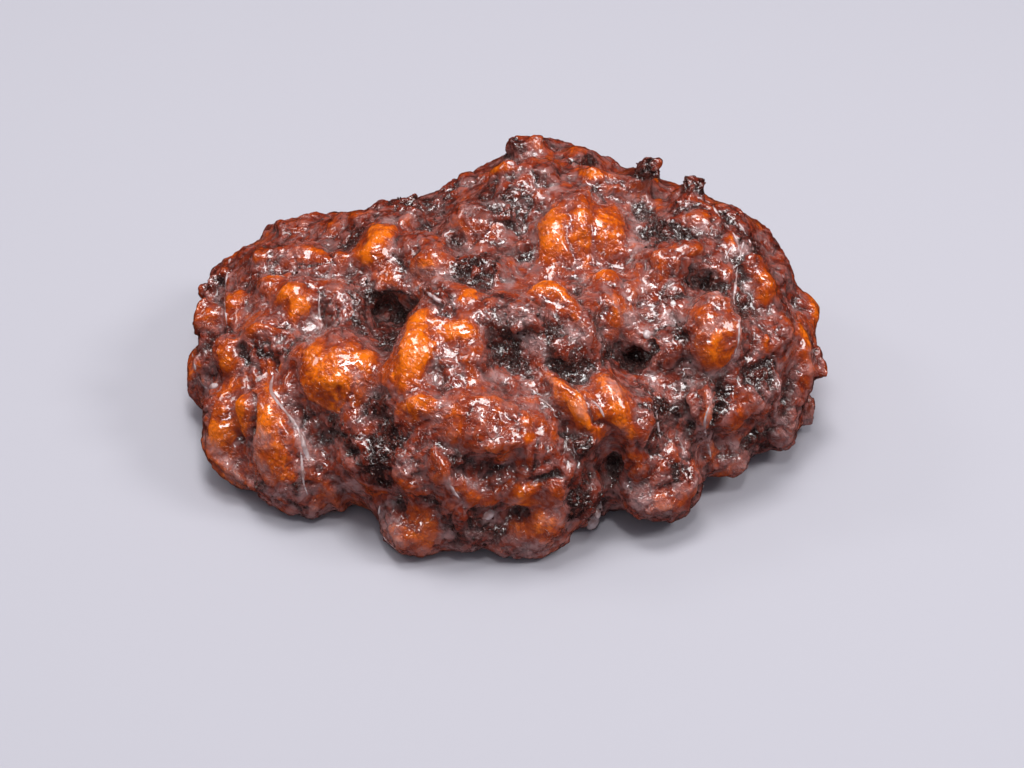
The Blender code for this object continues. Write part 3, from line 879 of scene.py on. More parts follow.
# Deep places between the folds: the same numbers, all with their turn, and depth in millimetres
PITS = (
    (393, 313, 24, 15, -20, 7.5), (627, 358, 19, 9, -10, 4.5), (566, 369, 17, 7, -38, 2.2),
    (614, 465, 8, 13, 0, 1.8), (704, 283, 13, 12, 0, 2.2), (518, 510, 13, 4, 8, 2.0),
    (504, 366, 14, 7, -25, 1.2), (275, 366, 6, 9, 0, 2.0), (604, 505, 8, 10, 0, 1.5),
    (546, 478, 14, 4, 8, 1.8), (652, 352, 9, 7, 0, 2.0), (676, 318, 9, 8, 0, 1.5),
    (718, 420, 5, 32, -6, 2.0), (686, 425, 5, 28, 8, 1.6), (753, 425, 5, 28, 0, 1.6),
    (249, 428, 4, 44, 2, 2.0), (598, 413, 4, 25, 38, 1.5), (492, 444, 38, 12, -6, -2.2),
    (246, 350, 5, 11, 12, 1.5), (352, 448, 13, 7, 0, 1.5), (570, 244, 3, 20, 3, 0.6),
    (398, 500, 8, 22, 0, 1.5), (815, 308, 8, 20, -10, 1.8), (655, 527, 22, 12, 0, 1.5),
    (200, 318, 12, 24, 0, -2.0), (816, 370, 8, 26, 0, -1.5),
)

# Where the outline is drawn in or out: x, y, half width and half height in pixels, and how far to the
# right and up in millimetres
PULLS = (
    (612, 150, 30, 22, 0.0, -3.0), (296, 208, 30, 18, 0.0, -2.6), (798, 262, 26, 40, -2.4, -0.6),
    (524, 142, 26, 18, -0.6, 0.5), (196, 322, 14, 28, -1.1, 0.0), (203, 392, 9, 8, 1.5, 0.0),
    (452, 176, 22, 14, 0.0, -1.2), (814, 365, 14, 30, 1.3, 0.0), (653, 166, 16, 17, 0.0, 2.2),
    (698, 182, 17, 14, 0.0, 1.1), (606, 146, 26, 20, 0.0, -2.2), (598, 147, 34, 18, 0.0, -1.4),
    (808, 296, 16, 22, -3.2, 0.0), (674, 190, 24, 14, 0.0, 0.6), (300, 206, 26, 16, 0.0, -1.2),
)

# Crisp crags that stand out on the outline, with the same numbers as the bulges
CRAGS = (
    (653, 167, 10, 11), (646, 157, 3, 7, 5), (660, 160, 4, 6), (690, 180, 6, 6, 10), (702, 184, 6, 6, -10),
    (707, 179, 2, 4, -20), (576, 165, 5, 5, 10), (588, 162, 5, 5), (599, 166, 4, 4, 20), (569, 157, 3, 3),
    (198, 303, 6, 8, 30), (207, 291, 6, 7), (217, 282, 7, 6, 25), (228, 273, 5, 5), (414, 198, 5, 4, 20),
    (436, 204, 4, 4), (818, 362, 4, 14), (810, 415, 3, 10, -8), (504, 146, 5, 5), (720, 200, 4, 3, 30),
    (517, 143, 6, 5, 20), (538, 141, 5, 4), (525, 251, 8, 8, 10), (508, 216, 7, 7), (583, 446, 8, 6, 15),
    (450, 237, 5, 4),
)


@dataclass(frozen=True)
class Ridge:
    """A fold of dough between two pixels of the photograph; its rise is in millimetres."""

    start_px: tuple[float, float]
    end_px: tuple[float, float]
    half_px: float
    rise: float = 1.6
    spacing: float = 0.7
    least_steps: int = 2
    ends: float = 0.62
    swell: float = 0.38
    sunk: float = 0.8
    long: float = 1.25
    flat: float = 0.8

    def lay(self, shape: bmesh.types.BMesh, ball: Ball, skin: Skin) -> None:
        """Lay overlapping balls along the ridge, so that they fuse to one fold.

        Args:
            shape: the bmesh that they join.
            ball: the ball that is copied.
            skin: the crust's skin.
        """
        start, end = Vector(self.start_px), Vector(self.end_px)
        half = SIGHTING.size(self.half_px)
        along = SIGHTING.axes() @ Vector((end.x - start.x, start.y - end.y, 0))
        steps = max(self.least_steps, round((end - start).length / (self.spacing * self.half_px)))
        for step in range(steps + 1):
            part = step / steps
            place, normal = skin.seen(*start.lerp(end, part))
            taper = self.ends + self.swell * math.sin(math.pi * part)
            wide = half * taper
            middle = place + normal * (self.rise * MM * taper - self.sunk * wide)
            ball.add(shape, middle, slanted(normal, along), (self.long * wide, wide, self.flat * wide))


# Folds that stand out, from one end to the other
RIDGES = (
    Ridge((423, 290), (449, 309), 5, 2.2), Ridge((600, 290), (617, 312), 4, 1.0),
    Ridge((543, 374), (560, 384), 7, 1.2), Ridge((207, 452), (258, 490), 5, 1.4),
    Ridge((707, 384), (705, 430), 6, 1.8), Ridge((705, 430), (713, 466), 6, 1.8),
    Ridge((736, 300), (738, 355), 4, 1.4), Ridge((818, 346), (819, 378), 4, 2.0),
    Ridge((810, 400), (807, 424), 4), Ridge((480, 177), (522, 165), 7, 1.2),
    Ridge((434, 450), (456, 496), 6, 1.2), Ridge((508, 478), (560, 464), 6, 1.2),
    Ridge((316, 474), (350, 518), 6, 1.2), Ridge((228, 262), (228, 340), 4, 1.0),
    Ridge((772, 362), (780, 404), 4, 1.2), Ridge((797, 376), (790, 436), 6, 1.2),
    Ridge((500, 372), (516, 384), 6, 1.0), Ridge((700, 297), (731, 302), 4, 1.2),
    Ridge((395, 205), (430, 217), 5, 1.0), Ridge((460, 205), (500, 216), 5, 1.0),
)


@dataclass(frozen=True)
class Spot:
    """A stretch of crust round a middle, bounded by an ellipsoid."""

    middle: Vector
    axes: Matrix
    half: tuple[float, float, float]
    level: float

    @classmethod
    def sighted(cls, skin: Skin, ellipse: tuple, level: float) -> "Spot":
        """Put a spot where the photograph shows it.

        Args:
            skin: the surface that the photograph's lines of sight meet.
            ellipse: x, y, half width and half height in pixels, and the turn in degrees if it is turned.
            level: what the spot stands for, such as its browning.

        Returns:
            The spot.
        """
        x_px, y_px, wide_px, high_px, *turn = ellipse
        turn_deg = turn[0] if turn else 0
        axes = Matrix.Rotation(math.radians(turn_deg), 3, SIGHTING.axes().col[2]) @ SIGHTING.axes()
        deep = SPOT_DEPTH * SIGHTING.size(max(wide_px, high_px)) + SPOT_SPARE
        place, _ = skin.seen(x_px, y_px)
        return cls(place, axes, (SIGHTING.size(wide_px), SIGHTING.size(high_px), deep), level)

    def away(self, places: np.ndarray) -> tuple[np.ndarray, np.ndarray]:
        """Find the places near the spot.

        Args:
            places: places to search.

        Returns:
            The indices of those within twice its size, and how far out each lies, 1 at its border.
        """
        offsets = places - np.array(self.middle)
        near = np.flatnonzero(np.max(np.abs(offsets), axis=1) < SPOT_REACH * max(self.half))
        local = offsets[near] @ np.array(self.axes) / np.array(self.half)
        out = np.sqrt(np.sum(local ** 2, axis=1))
        return near[out < SPOT_REACH], out[out < SPOT_REACH]


def all_sighted(skin: Skin, groups: dict) -> list[Spot]:
    """Put each browning's ellipses where the photograph shows them."""
    return [Spot.sighted(skin, ellipse, level.value) for level, group in groups.items() for ellipse in group]


def bent(places: np.ndarray, reach: float) -> np.ndarray:
    """Shift places by noise, so that what is bounded by them gets an uneven border.

    Args:
        places: the places.
        reach: about how far they move, in metres.

    Returns:
        The shifted places.
    """
    shifts = [
        noise.noise_vector(spot / BROAD_BEND) * BROAD_SHARE
        + noise.noise_vector(spot / FINE_BEND) * FINE_SHARE
        for spot in map(Vector, places)
    ]
    return places + np.array(shifts) * reach


def any_way(draw: random.Random) -> Vector:
    """Draw a direction."""
    return Vector((draw.gauss(0, 1), draw.gauss(0, 1), draw.gauss(0, 1))).normalized()


@dataclass(frozen=True)
class Cobbles:
    """Uneven cells that divide space, as dough that has run together is divided."""

    size: float
    bend: float = 0.45
    bend_size: float = 1.3
    steep: float = 1.6
    hollow: float = 0.35
    numbering: float = 7.3

    def at(self, place: Vector) -> tuple[float, float]:
        """Look at one place.

        Args:
            place: where to look.

        Returns:
            How far inside its cell the place is, 0 at the border to 1, and the cell's own number, -1 to 1.
        """
        shifted = place / self.size + noise.noise_vector(place / (self.bend_size * self.size)) * self.bend
        distances, middles = noise.voronoi(shifted)
        inside = min(1.0, self.steep * (distances[1] - distances[0]))
        return math.sqrt(inside) * (1 - self.hollow * distances[0]), noise.cell(middles[0] * self.numbering)


@dataclass(frozen=True)
class Crinkles:
    """Crinkles and blisters of the crust: cobbles, pebbles and wrinkles; heights in millimetres."""

    cobble: Cobbles = Cobbles(5.4 * MM)
    pebble: Cobbles = Cobbles(2.3 * MM)
    fine: float = 1.3 * MM
    cell_level: float = 0.6
    wrinkle_level: float = 0.3
    cobble_height: float = 1.3
    pebble_height: float = 0.2
    pebble_gain: float = 0.6
    wrinkle_height: float = 0.2
    smooth_pebble: float = 0.12
    smooth_wrinkle: float = 0.22
    weakest: float = 0.1
    strength_gain: float = 1.35
    strength_start: float = 0.12

    def lift(self, spot: Vector, browned: float) -> float:
        """Return how far the crust is lifted at a place.

        Args:
            spot: the place.
            browned: its browning; well-browned crust is crinkled most.

        Returns:
            The lift along the skin's normal, in millimetres.
        """
        strength = min(1.0, max(self.weakest, self.strength_gain * browned - self.strength_start))
        cobble = self.cobble.at(spot)[0] - self.cell_level
        pebble = self.pebble.at(spot)[0] - self.cell_level
        wrinkle = self.wrinkle_level - abs(noise.noise(spot / self.fine))
        pebbles = (self.pebble_height + self.pebble_gain * strength) * pebble
        rough = (self.cobble_height * cobble + pebbles + self.wrinkle_height * wrinkle) * strength
        return rough + (self.smooth_pebble * pebble + self.smooth_wrinkle * wrinkle)


@dataclass(frozen=True)
class Frying:
    """How the crust is browned, where painted shade darkens it, and where glaze and painted highlights lie
    on it, stored at its points for the finish.
    """

    cobble: Cobbles = Cobbles(5.4 * MM)
    cell_tone: float = 0.17
    cell_crease_shade: float = 0.1
    plain_weight: float = 0.12
    plain_level: float = 0.48
    cloud_tone: float = 0.35
    cloud_size: float = 9 * MM
    bend: float = 1.0 * MM
    bulge_fall: float = 1.8
    rim_shade: float = 0.16
    rim_limit: float = 1.5
    patch_weight: float = 1.8
    patch_fall: float = 1.6
    own_share: float = 0.2
    own_gain: float = 1.3
    fine_rounds: int = 5
    fine_relief: float = 0.12 * MM
    broad_rounds: int = 40
    broad_relief: float = 0.6 * MM
    hollow_shade: float = 0.08
    hollow_range: tuple[float, float] = (-1.5, 1.0)
    film_bend: float = 0.8 * MM
    film_fall: float = 1.2
    hollow_film: float = 0.12
    foot_film_and_reflection: float = 0.8
    foot_height: float = 5 * MM
    crease_shade_range: tuple[float, float] = (-0.6, 1.5)

    def browned(self, places: np.ndarray, bulges: list[Spot], patches: list[Spot]) -> np.ndarray:
        """Work out the browning at some places, with painted shade at the borders of the cobbles and,
        partly, of the bulges.

        Args:
            places: the places.
            bulges: the crust's bulges, each darker towards its border, partly as painted shade in the
                creases around it.
            patches: stretches that are browned evenly.

        Returns:
            The browning of each place.
        """
        total, weight = np.zeros(len(places)), np.full(len(places), self.plain_weight)
        own = np.empty(len(places))
        for index, place in enumerate(places):
            spot = Vector(place)
            inside, number = self.cobble.at(spot)
            # Each cobble gets a random tone of its own, and painted shade: lighter in its raised middle,
            # darker at its borders.
            own[index] = self.cell_tone * number - self.cell_crease_shade * inside
            cloud = self.plain_level + self.cloud_tone * noise.noise(spot / self.cloud_size)
            total[index] = self.plain_weight * cloud
        places = bent(places, self.bend)
        for bulge in bulges:
            near, out = bulge.away(places)
            share = np.exp(-self.bulge_fall * out ** 2)
            # Partly painted shade: each bulge is darker towards its border, where the creases between bulges
            # lie.
            total[near] += share * (bulge.level + self.rim_shade * np.minimum(out ** 2, self.rim_limit))
            weight[near] += share
        for patch in patches:
            near, out = patch.away(places)
            share = self.patch_weight * np.exp(-self.patch_fall * out ** 3)
            total[near] += share * patch.level
            weight[near] += share
        browned = total / weight
        return browned + own * np.clip(self.own_share + self.own_gain * browned, 0, 1)

    def store(
        self, crust: bpy.types.Object, bulges: list[Spot], patches: list[Spot], films_and_highlights: list[Spot]
    ) -> None:
        """Store at the crust's points how browned it is with its painted shade, how thick its glaze and
        painted highlights lie, and the painted shade of its creases.

        Args:
            crust: the crust.
            bulges: its bulges.
            patches: stretches that are browned evenly.
            films_and_highlights: stretches where the glaze lies thick, partly painted highlights.
        """
        points = Points.of(crust.data)
        normals = Points.normals(crust.data)
        fine = points.relief(self.fine_rounds, normals) / self.fine_relief
        broad = points.relief(self.broad_rounds, normals) / self.broad_relief
        browned = self.browned(points.places, bulges, patches)
        # Painted shade: broad hollows are darkened and broad swells lightened.
        browned -= self.hollow_shade * np.clip(broad, *self.hollow_range)
        film_and_reflection = np.zeros(len(points.places))
        uneven = bent(points.places, self.film_bend)
        for patch in films_and_highlights:
            near, out = patch.away(uneven)
            film_and_reflection[near] = np.maximum(film_and_reflection[near], patch.level * np.exp(-self.film_fall * out ** 4))
        # Partly painted reflection: the crust turns pale near the floor as if mirroring it, and partly glaze
        # pooled at the foot.
        foot = np.exp(-np.maximum(points.places[:, 2], 0) / self.foot_height)
        low = np.clip(-broad, 0, 1) * self.hollow_film + self.foot_film_and_reflection * foot
        film_and_reflection = np.clip(np.maximum(film_and_reflection, low), 0, 1)
        # Painted shade: how far each point lies in a fine hollow, for the finish to darken it there.
        crease_shade = np.clip(-fine, *self.crease_shade_range)
        for name, values in (("browning_and_shade", browned), ("film_and_reflection", film_and_reflection), ("crease_shade", crease_shade)):
            crust.data.attributes.new(name, "FLOAT", "POINT").data.foreach_set("value", values)


@dataclass
class Crust:
    """The fritter's crust, worked up from the plain solid: bulges, crags, crinkles, and how browned it is
    with painted shade.

    Lengths are in metres, and the ranges that half sizes are drawn from in millimetres.
    """

    weld: float = 0.01 * MM
    plain_rounds: int = 2
    coarse_voxel: float = 0.8 * MM
    coarse_rounds: int = 15
    voxel: float = 0.5 * MM
    fuse_rounds: int = 5
    triangles: int = 196000
    seed: int = 11
    bend_seed: int = 3
    bulge_bend: float = 1.0 * MM
    least_rise: float = 0.4 * MM
    rise_share: float = 0.32
    most_rise: float = 2.0 * MM
    dome_power: float = 0.8
    sunk: float = 0.4 * MM
    foot_swell: float = 1.6 * MM
    foot_height: float = 12.0 * MM
    hidden_bulges: int = 300
    hidden_long: tuple[float, float] = (2.6, 6.5)
    hidden_slim: tuple[float, float] = (0.45, 1.0)
    hidden_deep: float = 1.2
    hidden_odds: tuple[int, ...] = (1, 5, 6, 6, 4, 3, 2)
    out_of_sight: float = 2 * MM
    lowest: float = 1 * MM
    nodules: int = 260
    nodule_half: tuple[float, float] = (0.7, 1.7)
    grain_half: tuple[float, float] = (0.6, 1.5)
    nodule_slim: tuple[float, float] = (0.6, 1.0)
    nodule_out: tuple[float, float] = (-0.45, 0.15)
    craggy_size: float = 11 * MM
    craggy_limit: tuple[float, float] = (-0.3, 0.5)
    crowding: float = 0.5
    crag_out: float = 0.35
    crag_ragged: float = 0.35
    pit_bend: float = 1.1 * MM
    pit_slant: float = 0.4
    pit_fall: float = 1.6
    pull_depth: float = 35 * MM
    crinkles: Crinkles = Crinkles()
    frying: Frying = Frying()

    def build(self, node: bpy.types.Object) -> bpy.types.Object:
        """Make the crust in place of the plain solid.

        Args:
            node: the plain solid.

        Returns:
            The crust, with how browned it is with its painted shade, its glaze with painted highlights, and
            the painted shade of its creases stored at its points.
        """
        draw = random.Random(self.seed)
        noise.seed_set(self.bend_seed)
        shape = bmesh.new()
        shape.from_mesh(node.data)
        bmesh.ops.remove_doubles(shape, verts=shape.verts, dist=self.weld)
        crust = new_object("crust", shape)
        Points.write(crust.data, Points.of(crust.data).softened(self.plain_rounds))
        self._fuse(crust, self.coarse_voxel, self.coarse_rounds)
        skin = Skin(crust.data)
        bulges = all_sighted(skin, LUMPS)
        patches = all_sighted(skin, PATCHES)
        tones = all_sighted(skin, TONES)
        films_and_highlights = [Spot.sighted(skin, film_and_reflection[:5], film_and_reflection[5]) for film_and_reflection in FILMS_AND_HIGHLIGHTS]
        bulges += list(self._hidden_spots(crust, skin, draw))
        self._raise_bulges(crust, bulges)
        skin = Skin(crust.data)
        self._add_crags(crust, skin, patches, draw)
        self._fuse(crust, self.voxel, self.fuse_rounds)
        self._press_and_pull(crust, skin)
        patches += tones
        self._crinkle(crust, bulges, patches)
        self._thin_out(crust)
        self.frying.store(crust, bulges, patches, films_and_highlights)
        crust.data.shade_smooth()
        return crust

    @staticmethod
    def _fuse(crust: bpy.types.Object, voxel: float, rounds: int) -> None:
        """Fuse everything to one skin of even fineness, and round it off.

        Args:
            crust: the crust.
            voxel: the fineness, in metres.
            rounds: how often the skin is softened.
        """
        remesh = crust.modifiers.new("fuse", "REMESH")
        remesh.mode = "VOXEL"
        remesh.voxel_size = voxel
        bake_modifiers(crust)
        Points.write(crust.data, Points.of(crust.data).softened(rounds))

    @staticmethod
    def _settle(crust: bpy.types.Object, places: np.ndarray) -> None:
        """Move the crust's points, none of them into the floor."""
        places[:, 2] = np.maximum(places[:, 2], CLEARANCE)
        Points.write(crust.data, places)

    def _hidden_spots(self, crust: bpy.types.Object, skin: Skin, draw: random.Random) -> Iterator[Spot]:
        """Draw bulges for the sides that the photograph doesn't show.

        Args:
            crust: the crust.
            skin: its skin.
            draw: where the random numbers come from.

        Yields:
            Bulges out of the photograph's sight.
        """
        places, normals = Points.of(crust.data).places, Points.normals(crust.data)
        levels = [level.value for level in Browning]
        eye = SIGHTING.eye()
        for _ in range(self.hidden_bulges):
            index = draw.randrange(len(places))
            place, normal = Vector(places[index]), Vector(normals[index])
            long, slim = draw.uniform(*self.hidden_long), draw.uniform(*self.hidden_slim)
            turn = any_way(draw)
            level = draw.choices(levels, self.hidden_odds)[0]
            met = skin.tree.ray_cast(eye, (place - eye).normalized())[0]
            if met is None or (met - place).length < self.out_of_sight or place.z < self.lowest:
                continue
            half = (long * MM, long * slim * MM, self.hidden_deep * long * MM)
            yield Spot(place, slanted(normal, turn), half, level)

    def _raise_bulges(self, crust: bpy.types.Object, bulges: list[Spot]) -> None:
        """Swell each bulge out of the skin, so that creases are left between them.

        Args:
            crust: the crust.
            bulges: its bulges.
        """
        points = Points.of(crust.data)
        lift = np.zeros(len(points.places))
        uneven = bent(points.places, self.bulge_bend)
        for bulge in bulges:
            rise = min(self.least_rise + self.rise_share * min(bulge.half), self.most_rise)
            near, out = bulge.away(uneven)
            dome = rise * np.clip(1 - out ** 2, 0, 1) ** self.dome_power
            lift[near] = np.maximum(lift[near], dome)
        lift += self.foot_swell * np.exp(-points.places[:, 2] / self.foot_height) - self.sunk
        self._settle(crust, points.places + Points.normals(crust.data) * lift[:, None])

    def _add_crags(
        self, crust: bpy.types.Object, skin: Skin, patches: list[Spot], draw: random.Random
    ) -> None:
        """Join ridges, square crags, grains and nodules to the skin.

        Args:
            crust: the crust.
            skin: its skin.
            patches: stretches that are browned evenly; the darker, the more grains.
            draw: where the random numbers come from.
        """
        ball = Ball(2)
        shape = bmesh.new()
        shape.from_mesh(crust.data)
        for ridge in RIDGES:
            ridge.lay(shape, ball, skin)
        for ellipse in CRAGS:
            self._add_crag(shape, skin, ellipse, draw)
        for patch in patches:
            for place, normal in self._cluster(skin, patch, draw):
                self._add_nodule(shape, ball, place, normal, draw.uniform(*self.grain_half), draw)
        for place, normal in self._scattered(crust, draw):
            self._add_nodule(shape, ball, place, normal, draw.uniform(*self.nodule_half), draw)
        shape.to_mesh(crust.data)
        shape.free()
        bpy.data.meshes.remove(ball.mesh)

    def _add_crag(self, shape: bmesh.types.BMesh, skin: Skin, ellipse: tuple, draw: random.Random) -> None:
        """Set a square crag on the crust that is nearest to where the photograph shows it.

        Args:
            shape: the bmesh that it joins.
            skin: the crust's skin.
            ellipse: where it shows, with the same numbers as a bulge.
            draw: where the random numbers come from.
        """
        spot = Spot.sighted(skin, ellipse, 1.0)
        wide, high, _ = spot.half
        _, normal, _, _ = skin.tree.find_nearest(spot.middle)
        middle = spot.middle + normal * self.crag_out * min(wide, high)
        sizes = Matrix.Diagonal((wide, high, 0.5 * (wide + high), 1))
        block = Matrix.Translation(middle) @ spot.axes.to_4x4() @ sizes
        corners = bmesh.ops.create_cube(shape, size=2, matrix=block)["verts"]
        for corner in corners:
            corner.co += any_way(draw) * draw.uniform(0, self.crag_ragged) * min(wide, high)

    def _add_nodule(
        self,
        shape: bmesh.types.BMesh,
        ball: Ball,
        place: Vector,
        normal: Vector,
        half: float,
        draw: random.Random,
    ) -> None:
        """Set a nodule of batter half into the crust.

        Args:
            shape: the bmesh that it joins.
            ball: the ball that is copied.
            place: the place on the skin.
            normal: the skin's outward direction there.
            half: the nodule's half size in millimetres.
            draw: where the random numbers come from.
        """
        broad = half * MM * draw.uniform(*self.nodule_slim)
        high = half * MM * draw.uniform(*self.nodule_slim)
        middle = place + normal * draw.uniform(*self.nodule_out) * half * MM
        ball.add(shape, middle, slanted(normal, any_way(draw)), (half * MM, broad, high))

    def _cluster(self, skin: Skin, patch: Spot, draw: random.Random) -> Iterator[tuple[Vector, Vector]]:
        """Draw places within a patch that the photograph shows.

        Args:
            skin: the crust's skin.
            patch: the patch; one that is no darker than russet gets none.
            draw: where the random numbers come from.

        Yields:
            Places on the skin and its outward directions there.
        """
        crowding = self.crowding * max(0.0, patch.level - Browning.RUSSET.value)
        wide, high, _ = patch.half
        for _ in range(round(crowding * wide * high * math.pi / MM ** 2)):
            angle, radius = draw.uniform(0, math.tau), math.sqrt(draw.random())
            across = Vector((wide * math.cos(angle), high * math.sin(angle), 0))
            place, normal, _, _ = skin.tree.find_nearest(patch.middle + patch.axes @ across * radius)
            yield place, normal

    def _scattered(self, crust: bpy.types.Object, draw: random.Random) -> Iterator[tuple[Vector, Vector]]:
        """Draw places all over the skin, crowded where noise makes it craggy.

        Args:
            crust: the crust.
            draw: where the random numbers come from.

        Yields:
            Places on the skin and its outward directions there.
        """
        faces = crust.data.polygons
        for _ in range(self.nodules):
            face = faces[draw.randrange(len(faces))]
            craggy = noise.noise(face.center / self.craggy_size) > draw.uniform(*self.craggy_limit)
            if craggy and face.center.z > self.lowest:
                yield face.center.copy(), face.normal.copy()

    def _press_and_pull(self, crust: bpy.types.Object, skin: Skin) -> None:
        """Press the deep places further in, and draw the outline to where the photograph has it.

        Args:
            crust: the crust.
            skin: its skin before its crags were added.
        """
        points = Points.of(crust.data)
        places = points.places.copy()
        uneven = bent(points.places, self.pit_bend)
        for pit in PITS:
            spot = Spot.sighted(skin, pit[:5], pit[5])
            inward = (self.pit_slant * SIGHTING.way(*pit[:2]) - skin.seen(*pit[:2])[1]).normalized()
            near, out = spot.away(uneven)
            places[near] += np.exp(-self.pit_fall * out[:, None] ** 2) * np.array(inward) * spot.level * MM
        for *ellipse, right, up in PULLS:
            spot = Spot.sighted(skin, tuple(ellipse), 0.0)
            spot = Spot(spot.middle, spot.axes, (*spot.half[:2], self.pull_depth), 0.0)
            near, out = spot.away(points.places)
            way = SIGHTING.axes() @ Vector((right, up, 0)) * MM
            places[near] += np.exp(-self.pit_fall * out[:, None] ** 2) * np.array(way)
        self._settle(crust, places)

    def _crinkle(self, crust: bpy.types.Object, bulges: list[Spot], patches: list[Spot]) -> None:
        """Crinkle and blister the crust along its normals, least on its smooth bulges.

        Args:
            crust: the crust.
            bulges: its bulges.
            patches: stretches that are browned evenly.
        """
        points = Points.of(crust.data)
        normals = Points.normals(crust.data)
        rough = self.frying.browned(points.places, bulges, patches)
        lift = np.empty(len(points.places))
        for index, place in enumerate(points.places):
            lift[index] = self.crinkles.lift(Vector(place), rough[index])
        self._settle(crust, points.places + normals * lift[:, None] * MM)

    def _thin_out(self, crust: bpy.types.Object) -> None:
        """Keep the crust's triangles under their limit.

        Args:
            crust: the crust.
        """
        crust.data.calc_loop_triangles()
        thin = crust.modifiers.new("thin", "DECIMATE")
        thin.ratio = min(1.0, self.triangles / len(crust.data.loop_triangles))
        bake_modifiers(crust)


@dataclass
class Crumbs:
    """Crisp crumbs of batter stuck to the dark crags; half sizes in millimetres."""

    count: int = 1300
    small: float = 0.2
    large: float = 0.6
    squeezed: tuple[float, float] = (0.6, 1.0)
    broad: tuple[float, float] = (0.5, 0.9)
    high: tuple[float, float] = (0.6, 1.1)
    out: float = 0.25
    ragged: float = 0.6
    darkness: tuple[float, float] = (0.62, 1.05)
    lowest: float = 1.5 * MM
    seed: int = 5

    def build(self, crust: bpy.types.Object) -> bpy.types.Object:
        """Scatter the crumbs over a crust, most where it is darkest.

        Args:
            crust: the crust, with its browning.

        Returns:
            The crumbs.
        """
        draw = random.Random(self.seed)
        ball = Ball(1)
        shape = bmesh.new()
        browned = np.empty(len(crust.data.vertices))
        crust.data.attributes["browning_and_shade"].data.foreach_get("value", browned)
        points, normals = Points.of(crust.data).places, Points.normals(crust.data)
        made = 0
        while made < self.count:
            index = draw.randrange(len(points))
            if browned[index] < draw.uniform(*self.darkness) or points[index][2] < self.lowest:
                continue
            half = draw.uniform(self.small, self.large) * draw.uniform(*self.squeezed) * MM
            sizes = (half, half * draw.uniform(*self.broad), half * draw.uniform(*self.high))
            axes = slanted(Vector(normals[index]), any_way(draw))
            ball.add(shape, Vector(points[index]) + Vector(normals[index]) * self.out * half, axes, sizes)
            made += 1
        self._break_up(shape, draw)
        bpy.data.meshes.remove(ball.mesh)
        return new_object("crisp_crumbs", shape)

    def _break_up(self, shape: bmesh.types.BMesh, draw: random.Random) -> None:
        """Roughen the crumbs so that none is round."""
        for vertex in shape.verts:
            vertex.co += any_way(draw) * draw.uniform(0, self.ragged) * self.small * MM


# Lines of glaze: half width in millimetres, then the pixels of the photograph that each runs through
STRANDS = (
    (0.55, ((278, 362), (273, 376), (271, 390), (278, 402), (286, 412), (295, 424), (303, 440), (308, 458))),
    (0.30, ((320, 290), (319, 308), (321, 326))), (0.36, ((230, 258), (226, 282), (225, 304), (228, 334))),
    (0.42, ((697, 197), (710, 203), (718, 214), (726, 224), (736, 238), (740, 256))),
    (0.32, ((738, 262), (736, 282), (734, 300), (739, 322), (738, 344), (731, 364))),
    (0.40, ((738, 222), (746, 234), (752, 246), (754, 256))), (0.50, ((424, 291), (436, 299), (447, 308))),
    (0.34, ((213, 391), (204, 386), (197, 374), (192, 352))),
    (0.34, ((655, 400), (657, 418), (659, 432), (664, 447))), (0.30, ((538, 397), (546, 403), (557, 413))),
    (0.30, ((590, 399), (599, 407), (606, 421))), (0.36, ((712, 400), (705, 420), (707, 440), (712, 462))),
    (0.34, ((446, 480), (453, 490), (461, 500))), (0.30, ((573, 442), (574, 450), (578, 457))),
    (0.30, ((677, 435), (682, 446), (686, 456))), (0.40, ((300, 446), (302, 464), (304, 484), (310, 500))),
    (0.34, ((380, 505), (378, 524), (386, 540), (400, 552))),
    (0.80, ((601, 499), (600, 508), (595, 518), (588, 528))),
    (0.85, ((297, 427), (302, 438), (306, 452), (312, 468))), (0.34, ((734, 244), (728, 252), (724, 262))),
    (0.30, ((744, 240), (741, 252), (740, 264))),
)

# Beads and drips of glaze: x and y in pixels, half width and half height in millimetres
BEADS = (
    (488, 515, 1.6, 1.4), (593, 523, 1.7, 2.2), (598, 511, 1.3, 1.8), (458, 553, 1.8, 0.8),
    (647, 334, 0.9, 1.1), (213, 386, 1.2, 0.8), (552, 556, 1.3, 0.7), (392, 552, 1.6, 0.8),
)


def interpolate_smoothly(before: Vector, start: Vector, end: Vector, after: Vector, part: float) -> Vector:
    """Return a point part of the way along the smooth line through four points, between the middle two."""
    sway = (end - before) * part + (2 * before - 5 * start + 4 * end - after) * part ** 2
    return start + 0.5 * (sway + (3 * start - before - 3 * end + after) * part ** 3)


